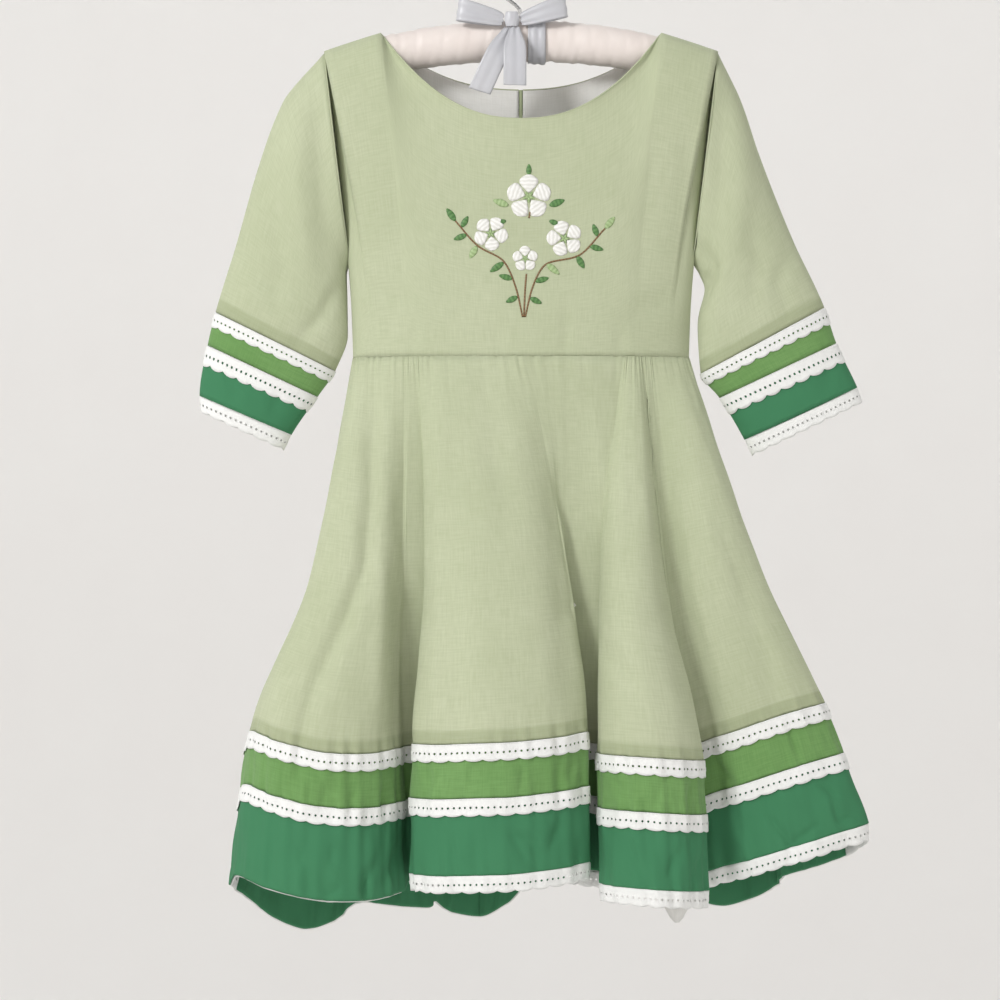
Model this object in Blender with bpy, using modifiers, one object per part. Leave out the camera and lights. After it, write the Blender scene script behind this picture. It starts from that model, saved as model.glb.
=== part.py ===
"""A girl's twirl dress with lace-edged bands, hung on a padded hanger.

Metres, +Z up, the front towards -Y. The origin is inside the crook of the hook, where a rail carries
it. Every cloth piece is an open surface worked out by a function from the tables below, and a Solidify
modifier makes it a wall.
"""

import math
from typing import NamedTuple

import bpy
import numpy as np
from mathutils import Matrix

# Walls and seams
CLOTH = 0.0011
LACE = 0.0010
RIBBON = 0.0010
SEAM_GAP = 0.0003
OVERLAY = CLOTH / 2 + SEAM_GAP + LACE / 2

# Padded hanger and its hook
PAD_RADIUS = 0.0170
PAD_FLATTEN = 0.75
PAD_HALF_LENGTH = 0.151
PAD_CROWN_Z = -0.0690
PAD_DROP = 0.0130
PAD_DROP_AT = 0.112
PAD_BOW = 2.2
PAD_END_RADIUS = 0.0125
PAD_CLEAR = 0.0010
HOOK_WIRE = 0.0016
HOOK_BEND = 0.0200
HOOK_TIP_DEG = -35
HOOK_JOIN_DEG = 215
HOOK_COLLAR = 0.0050

# Bodice
NECK_HALF_WIDTH = 0.112
FRONT_NECK_DEPTH = 0.0712
BACK_NECK_DEPTH = 0.041
SHOULDER_HALF_WIDTH = 0.157
UNDERARM_HALF_WIDTH = 0.1368
UNDERARM_Z = -0.246
ARMHOLE_DEPTH = 0.026
ARMHOLE_GAP = 0.0010
UNDERARM_GAP = 0.0009
WAIST_Z = -0.3225
WAIST_HALF_WIDTH = 0.134
WAIST_FRONT = 0.036
WAIST_BACK = 0.030
CHEST_FRONT = 0.043
CHEST_BACK = 0.034

# Centre-back zip
ZIP_WIDTH = 0.0030
ZIP_BELOW_WAIST = 0.064
PULL_LENGTH = 0.0170
PULL_WIDTH = 0.0056
PULL_THICK = 0.0014
PULL_PIN = 0.0007
PULL_EYE = 0.0011
SLIDER = (0.0060, 0.0026, 0.0085)

# Bands and lace, measured up the cloth from the lower edge of the lace
SKIRT_TRIM = {"upper": 0.115, "middle": 0.073, "hem": 0.014}
LACE_WIDTH = 0.0140
HEM_EDGE = 0.0012
HEM_TURN = ((-2, 174), (3.0, 174), (4.2, 150), (5.6, 30), (7.0, 6), (19.0, 6), (22.0, 10), (26.0, 14))
HEM_TURN_BACK = -176.0
SLEEVE_LACE_WIDTH = 0.0130

# Lining: the skirt's hangs as a plain cone inside the folds, and dips below the hem at one place
LINING_WAIST_INSIDE = 0.0018
LINING_LEFT = -0.200
LINING_RIGHT = 0.148
LINING_FRONT = -0.019
LINING_BACK = 0.0105
LINING_HEM_Z = -0.733
LINING_DIP_X = 0.124
LINING_DIP_WIDTH = 0.016
LINING_DIP = 0.040
LINING_COLUMNS = 40
LINING_ROWS = 4
NECK_FACING_SHARE = 0.39
NECK_FACING_ROWS = 6


class Fold(NamedTuple):
    """One fold of the skirt, in the order of travel round the hem, and the hollow that follows it.

    start and end are where its two edges stand in X, and crown is how far it stands out in Y.
    """

    name: str
    waist_start: float
    waist_end: float
    mid_start: float
    mid_end: float
    band_start: float
    band_end: float
    hem_start: float
    hem_end: float
    mid_crown: float
    band_crown: float
    hem_crown: float
    hollow_in_x: float
    hollow_in_y: float
    hollow_out_x: float
    hollow_out_y: float
    length_start: float
    length: float
    length_end: float


FOLDS = (
    Fold("left", -.133, -.092, -.163, -.094, -.209, -.098, -.222, -.096, -.058, -.078, -.080,
         -.087, -.029, -.071, -.027, .424, .4325, .424),
    Fold("middle", -.079, .005, -.076, .037, -.085, .052, -.087, .054, -.068, -.088, -.094,
         .044, -.026, .070, -.026, .420, .421, .414),
    Fold("right", .080, .096, .062, .113, .060, .141, .061, .146, -.062, -.084, -.092,
         .128, -.038, .138, -.026, .428, .433, .437),
    Fold("wing", .103, .133, .124, .187, .150, .241, .162, .278, -.046, -.046, -.048,
         .262, -.004, .211, .006, .421, .413, .411),
    Fold("back_right", .128, .096, .150, .106, .190, .122, .208, .128, .040, .045, .048,
         .132, .018, .112, .016, .436, .452, .432),
    Fold("back_mid", .084, .046, .090, .034, .100, .034, .104, .032, .038, .042, .044,
         .035, .017, .010, .017, .416, .414, .418),
    Fold("back_centre", .026, -.026, .018, -.052, .006, -.068, .002, -.070, .038, .044, .048,
         -.074, .018, -.124, .016, .430, .457, .443),
    Fold("back_left", -.052, -.128, -.088, -.157, -.124, -.202, -.134, -.219, .038, .042, .046,
         -.230, .008, -.231, -.018, .450, .474, .450),
)
EDGE_SHARE = 0.60
SHOULDER_SHARE = 0.90
SHOULDER_AT = 0.20
FOLD_POINTS = 7
LEVELS = (0.0, 0.42, 0.73, 1.0)
HOLLOW_SHARE = (0.0, 0.35, 0.80, 1.0)
DROP_STEPS = 40
PANEL_ROWS = 5
COLUMN_SPACING = 0.026
COLUMN_TURN = 0.60
RIGHT_SEAM = 3 * FOLD_POINTS + 5
BACK_SEAM = 6 * FOLD_POINTS + 2
LEFT_SEAM = 8 * FOLD_POINTS - 2


class Section(NamedTuple):
    """One section across a sleeve, from its outer edge to its inner edge."""

    name: str
    along: float
    outer_x: float
    outer_z: float
    inner_x: float
    inner_z: float
    depth: float


LEFT_SLEEVE = (
    Section("armhole", 0.00, -.1570, -.0790, -.1368, -.2460, .026),
    Section("head", 0.10, -.1900, -.1180, -.1396, -.2560, .027),
    Section("upper", 0.30, -.2090, -.1680, -.1392, -.2720, .026),
    Section("elbow", 0.58, -.2280, -.2340, -.1388, -.3040, .022),
    Section("upper_lace", 0.78, -.2440, -.2860, -.1490, -.3330, .019),
    Section("middle_lace", 0.87, -.2504, -.3125, -.1632, -.3536, .017),
    Section("hem_seam", 0.97, -.2568, -.3530, -.1840, -.3840, .015),
    Section("hem", 1.00, -.2560, -.3655, -.1896, -.3960, .014),
)
RIGHT_SLEEVE = (
    Section("armhole", 0.00, .1570, -.0790, .1368, -.2460, .026),
    Section("head", 0.10, .1740, -.1140, .1432, -.2560, .027),
    Section("upper", 0.30, .1900, -.1600, .1472, -.2680, .026),
    Section("elbow", 0.58, .2170, -.2280, .1416, -.2970, .022),
    Section("upper_lace", 0.78, .2424, -.2824, .1440, -.3350, .019),
    Section("middle_lace", 0.87, .2520, -.3110, .1592, -.3544, .017),
    Section("hem_seam", 0.97, .2688, -.3464, .1792, -.3880, .015),
    Section("hem", 1.00, .2730, -.3575, .1848, -.4000, .014),
)

# Colours as Principled base colours, with roughness
SAGE = ((0.52, 0.56, 0.38, 1), 0.85)
LEAF = ((0.17, 0.33, 0.11, 1), 0.80)
EMERALD = ((0.045, 0.20, 0.09, 1), 0.75)
WHITE = ((0.85, 0.85, 0.83, 1), 0.85)
SATIN = ((0.86, 0.82, 0.79, 1), 0.45)
SILVER = ((0.62, 0.62, 0.64, 1), 0.40)
STEEL = ((0.60, 0.60, 0.60, 1), 0.30)


def clear_scene():
    for obj in list(bpy.data.objects):
        bpy.data.objects.remove(obj)


def material(name, look, metallic=0.0):
    """A plain material of one finish, made once and shared."""
    made = bpy.data.materials.get(name)
    if made is None:
        made = bpy.data.materials.new(name)
        made.use_nodes = True
        shader = made.node_tree.nodes["Principled BSDF"]
        shader.inputs["Base Color"].default_value = look[0]
        shader.inputs["Roughness"].default_value = look[1]
        shader.inputs["Metallic"].default_value = metallic
    return made


def slopes(knots, values):
    """Slopes of a monotone cubic through values, along the first axis: it never overshoots a point."""
    step = np.diff(knots).reshape(-1, *([1] * (values.ndim - 1)))
    secant = np.diff(values, axis=0) / step
    inner = np.zeros_like(values[1:-1])
    before, after = secant[:-1], secant[1:]
    same_way = before * after > 0
    harmonic = 2 * before * after / np.where(same_way, before + after, 1)
    inner[same_way] = harmonic[same_way]
    return np.concatenate([secant[:1], inner, secant[-1:]])


def curve_through(knots, values, at):
    """The monotone cubic through values at knots, read at each place in at."""
    knots, values, at = (np.asarray(a, float) for a in (knots, values, at))
    slope = slopes(knots, values)
    i = np.clip(np.searchsorted(knots, at, side="right") - 1, 0, len(knots) - 2)
    width = knots[i + 1] - knots[i]
    t = (at - knots[i]) / width
    shape = (-1, *([1] * (values.ndim - 1)))
    t, width = t.reshape(shape), width.reshape(shape)
    return (
        (2 * t**3 - 3 * t**2 + 1) * values[i]
        + (t**3 - 2 * t**2 + t) * width * slope[i]
        + (3 * t**2 - 2 * t**3) * values[i + 1]
        + (t**3 - t**2) * width * slope[i + 1]
    )


def ring_through(points, places):
    """A smooth closed curve through points, read at each place: place 2.5 is half way from 2 to 3.

    The knots follow the root of the distance between points, which keeps loops out of tight corners.
    """
    count = len(points)
    i = np.floor(places).astype(int)
    u = (places - i)[:, None]
    p0, p1, p2, p3 = (points[(i + step) % count] for step in (-1, 0, 1, 2))
    d1, d2, d3 = (
        np.sqrt(np.maximum(np.linalg.norm(b - a, axis=-1), 1e-6))[:, None]
        for a, b in ((p0, p1), (p1, p2), (p2, p3))
    )
    m1 = p2 - p1 + d2 * ((p1 - p0) / d1 - (p2 - p0) / (d1 + d2))
    m2 = p2 - p1 + d2 * ((p3 - p2) / d3 - (p3 - p1) / (d2 + d3))
    return (
        (2 * u**3 - 3 * u**2 + 1) * p1
        + (u**3 - 2 * u**2 + u) * m1
        + (3 * u**2 - 2 * u**3) * p2
        + (u**3 - u**2) * m2
    )


def waist_angle(x, front):
    """The angle round the waist oval of a point at x: -90 degrees at the left side, 0 at the front."""
    across = math.asin(max(-1.0, min(1.0, x / WAIST_HALF_WIDTH)))
    return across if front else math.pi - across


def waist_point(angle):
    """The point of the waist oval at each angle."""
    depth = np.where(np.cos(angle) > 0, WAIST_FRONT, WAIST_BACK)
    return np.stack([WAIST_HALF_WIDTH * np.sin(angle), -depth * np.cos(angle)], axis=-1)


def fold_controls():
    """The waist angle, the (x, y) at each lower level and the cloth length, at 7 points a fold."""
    angles, plans, lengths = [], [], []
    for i, fold in enumerate(FOLDS):
        after = FOLDS[(i + 1) % len(FOLDS)]
        front = fold.hem_crown < 0
        turn = 2 * math.pi if i == len(FOLDS) - 1 else 0.0
        first = waist_angle(fold.waist_start, front)
        last = waist_angle(fold.waist_end, front)
        following = waist_angle(after.waist_start, after.hem_crown < 0) + turn
        shares = (0.0, SHOULDER_AT, 0.5, 1 - SHOULDER_AT, 1.0)
        angles += [first + (last - first) * share for share in shares]
        angles += [last + (following - last) * share for share in (0.35, 0.65)]
        lengths += [
            fold.length_start * (1 - t) * (1 - 2 * t)
            + fold.length * 4 * t * (1 - t)
            + fold.length_end * t * (2 * t - 1)
            for t in shares
        ]
        step = after.length_start - fold.length_end
        lengths += [fold.length_end + step * share for share in (0.35, 0.65)]
        rows = (
            (fold.mid_start, fold.mid_end, fold.mid_crown, after.mid_start, HOLLOW_SHARE[1]),
            (fold.band_start, fold.band_end, fold.band_crown, after.band_start, HOLLOW_SHARE[2]),
            (fold.hem_start, fold.hem_end, fold.hem_crown, after.hem_start, HOLLOW_SHARE[3]),
        )
        levels = []
        for start, end, crown, next_start, share in rows:
            points = [
                (start, crown * EDGE_SHARE),
                (start + (end - start) * SHOULDER_AT, crown * SHOULDER_SHARE),
                ((start + end) / 2, crown),
                (end - (end - start) * SHOULDER_AT, crown * SHOULDER_SHARE),
                (end, crown * EDGE_SHARE),
            ]
            waist_y = -WAIST_FRONT if front else WAIST_BACK
            into = end + (fold.hollow_in_x - fold.hem_end) * share
            out_of = next_start + (fold.hollow_out_x - after.hem_start) * share
            level = 0.35 + 0.65 * share
            points.append((into, waist_y * (1 - level) + fold.hollow_in_y * level))
            points.append((out_of, waist_y * (1 - level) + fold.hollow_out_y * level))
            levels.append(points)
        plans += list(np.array(levels).transpose(1, 0, 2))
    return np.array(angles), np.array(plans), np.array(lengths)


class Skirt:
    """The skirt's surface: a point for any place round the hem and any length down the cloth."""

    def __init__(self):
        angles, plans, lengths = fold_controls()
        self.count = len(angles)
        knots = np.arange(-self.count, 2 * self.count)
        turns = np.repeat([-1, 0, 1], self.count) * 2 * math.pi
        self.knots = knots
        self.angles = np.tile(angles, 3) + turns
        self.plans = plans
        self.lengths = np.tile(lengths, 3)

    def columns(self, places):
        """(points at DROP_STEPS + 1 even steps down the cloth, the cloth's length) at each place."""
        places = np.asarray(places, float)
        angle = curve_through(self.knots, self.angles, places)
        waist = waist_point(angle)
        length = curve_through(self.knots, self.lengths, places)
        lower = [ring_through(self.plans[:, level], places) for level in range(len(LEVELS) - 1)]
        control = np.stack([waist, *lower])
        share = np.linspace(0, 1, DROP_STEPS + 1)
        xy = curve_through(np.array(LEVELS), control, share)
        across = np.linalg.norm(np.diff(xy, axis=0), axis=-1)
        fall = np.sqrt(np.maximum((length / DROP_STEPS) ** 2 - across**2, 1e-9))
        z = WAIST_Z - np.concatenate([np.zeros((1, len(places))), np.cumsum(fall, axis=0)])
        return np.concatenate([xy, z[..., None]], axis=-1), length

    def grid(self, places, upper, lower, rows):
        """Points of the cloth between two lengths, each a function of the whole length."""
        points, length = self.columns(places)
        start, end = upper(length), lower(length)
        out = []
        for share in np.linspace(0, 1, rows + 1):
            down = (start + (end - start) * share) / length * DROP_STEPS
            i = np.clip(down.astype(int), 0, DROP_STEPS - 1)
            rest = (down - i)[:, None]
            column = np.arange(len(length))
            out.append(points[i, column] * (1 - rest) + points[i + 1, column] * rest)
        return np.array(out)


def unit(vectors):
    """The vectors, each one long."""
    return vectors / np.linalg.norm(vectors, axis=-1, keepdims=True)


def outward(grid, closed=False):
    """Vectors out of the dress at each point of a grid, longer where it bends, so walls stay parallel."""
    if closed:
        after = unit(np.roll(grid, -1, axis=1) - grid)
        before = np.roll(after, 1, axis=1)
    else:
        between = unit(np.diff(grid, axis=1))
        after = np.concatenate([between, between[:, -1:]], axis=1)
        before = np.concatenate([between[:, :1], between], axis=1)
    across = before + after
    half_turn = np.linalg.norm(across, axis=-1, keepdims=True) / 2
    return unit(np.cross(np.gradient(grid, axis=0), across)) / np.maximum(half_turn, 0.7)


def pull_in(grid, first=SEAM_GAP / 2, last=SEAM_GAP / 2):
    """The grid with its first and last columns drawn back along each row, to leave the seams open."""
    grid = grid.copy()
    for edge, beside, amount in ((0, 1, first), (-1, -2, last)):
        way = grid[:, beside] - grid[:, edge]
        length = np.linalg.norm(way, axis=-1, keepdims=True)
        grid[:, edge] += way / length * np.broadcast_to(amount, len(grid))[:, None]
    return grid


def laid_on(grid, width, offset):
    """The top of a strip's grid, down to a width, moved out to lie on it. The strip has two rows."""
    share = width / np.linalg.norm(grid[1] - grid[0], axis=-1, keepdims=True)
    return np.stack([grid[0], grid[0] + (grid[1] - grid[0]) * share]) + offset


def sheet(name, grid, look, thickness=CLOTH, closed=False):
    """A wall of cloth on a grid of rows and columns, whose faces point out of the dress."""
    rows, columns = grid.shape[:2]
    wrap = columns if closed else columns - 1
    faces = [
        (
            i * columns + j,
            (i + 1) * columns + j,
            (i + 1) * columns + (j + 1) % columns,
            i * columns + (j + 1) % columns,
        )
        for i in range(rows - 1)
        for j in range(wrap)
    ]
    mesh = bpy.data.meshes.new(name)
    mesh.from_pydata(grid.reshape(-1, 3).tolist(), [], faces)
    mesh.shade_smooth()
    obj = bpy.data.objects.new(name, mesh)
    obj.data.materials.append(material(look[0], look[1], look[2] if len(look) > 2 else 0.0))
    dress = bpy.data.collections["twirl_dress"]
    dress.objects.link(obj)
    wall = obj.modifiers.new("wall", "SOLIDIFY")
    wall.thickness = thickness
    wall.offset = 0.0
    return obj


def places_between(skirt, first, last):
    """Places round the hem from one seam to the next: even along the cloth, closer where it turns."""
    fine = np.linspace(first, last, round((last - first) * 24) + 1)
    hem = skirt.columns(fine)[0][-1, :, :2]
    way = np.diff(hem, axis=0)
    heading = np.unwrap(np.arctan2(way[:, 1], way[:, 0]))
    turn = np.abs(np.gradient(heading))
    cost = np.cumsum(np.linalg.norm(way, axis=-1) / COLUMN_SPACING + turn / COLUMN_TURN)
    cost = np.concatenate([[0.0], cost])
    return np.interp(np.linspace(0, cost[-1], math.ceil(cost[-1]) + 1), cost, fine)


def mitre(skirt, place, start, end, rows):
    """How far to draw a panel's edge back at a seam, row by row, so bent walls don't touch there."""
    near = skirt.grid(np.array([place - 0.08, place, place + 0.08]), start, end, rows)
    before, after = near[:, 1] - near[:, 0], near[:, 2] - near[:, 1]
    cosine = (before * after).sum(-1) / np.linalg.norm(before, axis=-1) / np.linalg.norm(after, axis=-1)
    half_bend = np.arccos(np.clip(cosine, -1, 1)) / 2
    return SEAM_GAP / 2 + CLOTH * np.tan(np.minimum(half_bend, 0.7))


def skirt_panel(skirt, places, start, end, rows, slot_edge=None, drop=(0, 0)):
    """The grid of one panel or strip of the skirt, open at its two seams and at the zip.

    drop moves its upper and its lower edge down the cloth, by one amount or one for each place.
    """
    first = mitre(skirt, places[0], start, end, rows)
    last = mitre(skirt, places[-1], start, end, rows)
    if slot_edge is not None:
        down = np.linspace(0, FOLDS[6].length - SKIRT_TRIM["upper"], rows + 1)
        opened = np.where(down < ZIP_BELOW_WAIST + 0.006, ZIP_WIDTH / 2 + SEAM_GAP, 0)
        if slot_edge == 0:
            first = np.maximum(first, opened)
        else:
            last = np.maximum(last, opened)
    grid = skirt.grid(places, shifted(start, drop[0]), shifted(end, drop[1]), rows)
    return pull_in(grid, first, last)


def hem_lace(strip, turn, over):
    """The hem lace, which hangs from the band or is turned up on its inner or (below zero) outer side.

    over is 0 where the lace hangs and 1 where it lies on the band.
    """
    down = unit(strip[1] - strip[0])
    into = -outward(strip) * np.sign(turn)[None, :, None]
    angle = np.radians(np.abs(turn))[:, None]
    top = strip[0] + into[0] * (OVERLAY * over)[:, None] + down * (HEM_EDGE * 0.6 * over)[:, None]
    low = top + LACE_WIDTH * 0.98 * (np.cos(angle) * down + np.sin(angle) * into[0])
    return np.stack([top, low])


def skirt_pieces():
    """Panels, bands and lace of the skirt, between its three seams, and its lining."""
    skirt = Skirt()
    half_gap = SEAM_GAP / 2
    panels = {
        "front": (LEFT_SEAM - skirt.count, RIGHT_SEAM, None),
        "back_right": (RIGHT_SEAM, BACK_SEAM, -1),
        "back_left": (BACK_SEAM, LEFT_SEAM, 0),
    }
    strips = (
        ("skirt_band_upper_{}", "upper", "middle", ("leaf_cotton", LEAF)),
        ("skirt_band_lower_{}", "middle", "hem", ("emerald_cotton", EMERALD)),
    )
    for side, (first, last, slot_edge) in panels.items():
        places = places_between(skirt, first, last)
        top = shifted(lambda length: length * 0, half_gap)
        end = shifted(cloth_from("upper"), -half_gap)
        panel = skirt_panel(skirt, places, top, end, PANEL_ROWS, slot_edge)
        sheet(f"skirt_{side}", panel, ("sage_cotton", SAGE))
        turn = np.interp(places, *zip(*HEM_TURN)) if side == "front" else np.full(len(places), HEM_TURN_BACK)
        over = (1 - np.cos(np.radians(turn))) / 2
        lower = over * (SKIRT_TRIM["hem"] - HEM_EDGE)
        for name, above, below, look in strips:
            start, end = shifted(cloth_from(above), half_gap), shifted(cloth_from(below), -half_gap)
            strip = skirt_panel(skirt, places, start, end, 1, drop=(0, lower if below == "hem" else 0))
            sheet(name.format(side), strip, look)
            lace = laid_on(strip, LACE_WIDTH, outward(strip) * OVERLAY)
            sheet(f"skirt_lace_{above}_{side}", lace, ("white_lace", WHITE), LACE)
        start = shifted(cloth_from("hem"), half_gap)
        strip = skirt_panel(skirt, places, start, lambda length: length, 1, drop=(lower, 0))
        hem = hem_lace(strip, turn, over)
        sheet(f"skirt_lace_hem_{side}", hem, ("white_lace", WHITE), LACE)
    skirt_lining()
    return skirt


def skirt_lining():
    """The white lining: a plain cone from the waist seam, inside all the folds."""
    swing = np.arange(LINING_COLUMNS) / LINING_COLUMNS * 2 * math.pi
    across, along = np.sin(swing), -np.cos(swing)
    inside = LINING_WAIST_INSIDE
    top = np.stack([
        (WAIST_HALF_WIDTH - inside) * across,
        np.where(along < 0, WAIST_FRONT - inside, WAIST_BACK - inside) * along,
        np.full(LINING_COLUMNS, WAIST_Z - 0.0012),
    ], axis=-1)
    hem_x = (LINING_LEFT + LINING_RIGHT) / 2 + (LINING_RIGHT - LINING_LEFT) / 2 * across
    dip = np.exp(-(((hem_x - LINING_DIP_X) / LINING_DIP_WIDTH) ** 2)) * (along < 0)
    hem = np.stack([
        hem_x,
        np.where(along < 0, -LINING_FRONT, LINING_BACK) * along,
        LINING_HEM_Z - LINING_DIP * dip,
    ], axis=-1)
    rows = np.linspace(0, 1, LINING_ROWS + 1)[:, None, None]
    sheet("skirt_lining", top + (hem - top) * rows, ("white_lining", WHITE), CLOTH, True)


def cloth_from(line):
    """How far down the cloth a trim line lies, as a function of the cloth's whole length."""
    return lambda length: length - SKIRT_TRIM[line]


def shifted(length_of, amount):
    """The same length, moved down the cloth by an amount."""
    return lambda length: length_of(length) + amount


def pad_centre_z(x):
    """Height of the hanger's padded arm at x."""
    return PAD_CROWN_Z - PAD_DROP * (abs(x) / PAD_DROP_AT) ** PAD_BOW


def shoulder_z(x):
    """Height of the shoulder seam at x: the cloth lies on the padding."""
    return pad_centre_z(x) + PAD_RADIUS + CLOTH / 2 + PAD_CLEAR


def armhole_point(share, side, way):
    """A point of the armhole, from the shoulder at 0 to the underarm at 1."""
    swing = math.pi * share
    down = (1 - math.cos(swing)) / 2
    top = shoulder_z(SHOULDER_HALF_WIDTH)
    x = SHOULDER_HALF_WIDTH + (UNDERARM_HALF_WIDTH - SHOULDER_HALF_WIDTH) * down
    return np.array([side * x, way * ARMHOLE_DEPTH * math.sin(swing), top + (UNDERARM_Z - top) * down])


def neck_point(x, way):
    """A point of the neckline at x, on the front (way -1) or the back (way 1)."""
    share = abs(x) / NECK_HALF_WIDTH
    drop = FRONT_NECK_DEPTH if way < 0 else BACK_NECK_DEPTH
    reach = 0.027 if way < 0 else 0.024
    top = shoulder_z(NECK_HALF_WIDTH)
    z = top - drop * (1 - share**2.3)
    return np.array([x, way * (reach * math.sqrt(max(0.0, 1 - share**4)) + SHOULDER_GAP), z])


SHOULDER_GAP = 0.00025
ARMHOLE_COLUMNS = 5
SHOULDER_COLUMNS = 2
NECK_COLUMNS = (0.012, 0.037, 0.10, 0.20, 0.33, 0.48, 0.65, 0.82, 1.0)

# Shares of a bodice panel's half width, from the side seam to the centre, given to each edge above it
ARMHOLE_SHARE = 0.34
SHOULDER_SEAM_SHARE = 0.20


def bodice_column(share, way, depth, waist_depth):
    """The four points that bend one column of a bodice panel. share runs from -1 to 1 across it."""
    side = -1.0 if share < 0 else 1.0
    inward = 1 - abs(share)
    x_waist = WAIST_HALF_WIDTH * math.sin(share * math.pi / 2)
    y_waist = way * waist_depth * math.cos(share * math.pi / 2)
    bottom = np.array([x_waist, y_waist, WAIST_Z + SEAM_GAP / 2])
    if inward < ARMHOLE_SHARE:
        along = 1 - inward / ARMHOLE_SHARE
        top = armhole_point(along, side, way)
        top[1] = way * max(way * top[1], SHOULDER_GAP)
        inner = (bottom - top) / 3
        inner[1] = way * (depth - way * top[1]) * (1 - along) ** 0.5 * 0.9
        inner[2] *= 1 - 0.6 * (1 - along) ** 3
    elif inward < ARMHOLE_SHARE + SHOULDER_SEAM_SHARE:
        along = (inward - ARMHOLE_SHARE) / SHOULDER_SEAM_SHARE
        x = SHOULDER_HALF_WIDTH + (NECK_HALF_WIDTH - SHOULDER_HALF_WIDTH) * along
        top = np.array([side * x, way * SHOULDER_GAP, shoulder_z(x)])
        inner = np.array([0, way * depth, 0])
    else:
        along = (inward - ARMHOLE_SHARE - SHOULDER_SEAM_SHARE) / (1 - ARMHOLE_SHARE - SHOULDER_SEAM_SHARE)
        x = NECK_HALF_WIDTH * (1 - along)
        top = neck_point(side * x, way)
        edge = max(0.0, 1 - along * 4) ** 2
        fall = (bottom[2] - top[2]) / 3
        inner = np.array([0, way * (depth * edge + 0.006 * (1 - edge)), fall * (1 - edge)])
    lower = bottom + np.array([0, way * 0.004, (top[2] - bottom[2]) / 3])
    lower[0] = bottom[0] + (top[0] - bottom[0]) * 0.15
    return bottom, lower, top + inner, top


# How far down a bodice panel its rows stand, closer where it bends over the padding
BODICE_ROWS = (0.0, 0.035, 0.08, 0.14, 0.23, 0.36, 0.54, 0.76, 1.0)


def bodice_grid(way, depth, waist_depth, shares):
    """Points of a bodice panel, from its upper edge down to the waist."""
    heights = 1 - np.array(BODICE_ROWS)
    columns = []
    for share in shares:
        a, b, c, d = bodice_column(share, way, depth, waist_depth)
        t = heights[:, None]
        columns.append((1 - t) ** 3 * a + 3 * (1 - t) ** 2 * t * b + 3 * (1 - t) * t**2 * c + t**3 * d)
    return np.array(columns).transpose(1, 0, 2)


def bodice_shares():
    """Places across a half panel, from the side seam to the centre, close together by the neck point."""
    corner = 1 - ARMHOLE_SHARE
    neck = corner - SHOULDER_SEAM_SHARE
    armhole = [1 - ARMHOLE_SHARE * i / ARMHOLE_COLUMNS for i in range(ARMHOLE_COLUMNS)]
    shoulder = [corner - SHOULDER_SEAM_SHARE * i / SHOULDER_COLUMNS for i in range(SHOULDER_COLUMNS + 1)]
    return armhole + shoulder + [neck * (1 - along) for along in NECK_COLUMNS]


def bodice_pieces():
    """Front, the two halves of the back, and the facing that shows inside the back neck."""
    half = bodice_shares()
    across = [-s for s in half] + [s for s in reversed(half[:-1])]
    grid = bodice_grid(-1, CHEST_FRONT, WAIST_FRONT, across)
    sheet("bodice_front", pull_in(grid), ("sage_cotton", SAGE))
    slot = ZIP_WIDTH / 2 + SEAM_GAP
    inward = CLOTH / 2 + SEAM_GAP + LACE / 2
    for name, side in (("left", -1), ("right", 1)):
        shares = np.array([side * s for s in (reversed(half) if side < 0 else half)])
        grid = bodice_grid(1, CHEST_BACK, WAIST_BACK, shares)
        outer = pull_in(grid, *((slot, SEAM_GAP / 2) if side < 0 else (SEAM_GAP / 2, slot)))
        sheet(f"bodice_back_{name}", outer, ("sage_cotton", SAGE))
        kept = np.abs(shares) <= NECK_FACING_SHARE
        facing = (outer - outward(outer) * inward)[:NECK_FACING_ROWS, kept]
        facing[0] += (facing[1] - facing[0]) * 0.15
        sheet(f"neck_facing_back_{name}", facing, ("white_lining", WHITE), LACE)


SLEEVE_ROWS = 7
SLEEVE_COLUMNS = 20


def sleeve_edges(table, along):
    """Outer edge, inner edge and depth of a sleeve at each place along it."""
    knots = [row.along for row in table]
    values = np.array([row[2:] for row in table])
    read = curve_through(knots, values, along)
    zero = np.zeros(len(along))
    outer = np.stack([read[:, 0], zero, read[:, 1]], axis=-1)
    inner = np.stack([read[:, 2], zero, read[:, 3]], axis=-1)
    return outer, inner, read[:, 4]


def sleeve_grid(table, along, columns):
    """Rings of a sleeve, each an oval between its outer and its inner edge."""
    outer, inner, depth = sleeve_edges(table, along)
    side = -1.0 if table[0].outer_x < 0 else 1.0
    swing = np.arange(columns) / columns * 2 * math.pi * side
    centre, reach = (outer + inner) / 2, (outer - inner) / 2
    ring = centre[:, None] + reach[:, None] * np.cos(swing)[None, :, None]
    ring[:, :, 1] += depth[:, None] * np.sin(swing)[None, :]
    start = np.clip(1 - np.asarray(along) / 0.08, 0, 1)[:, None]
    low = (1 - np.cos(swing)[None, :]) / 2
    ring[:, :, 0] += side * (ARMHOLE_GAP + UNDERARM_GAP * low) * start
    return ring


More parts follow.
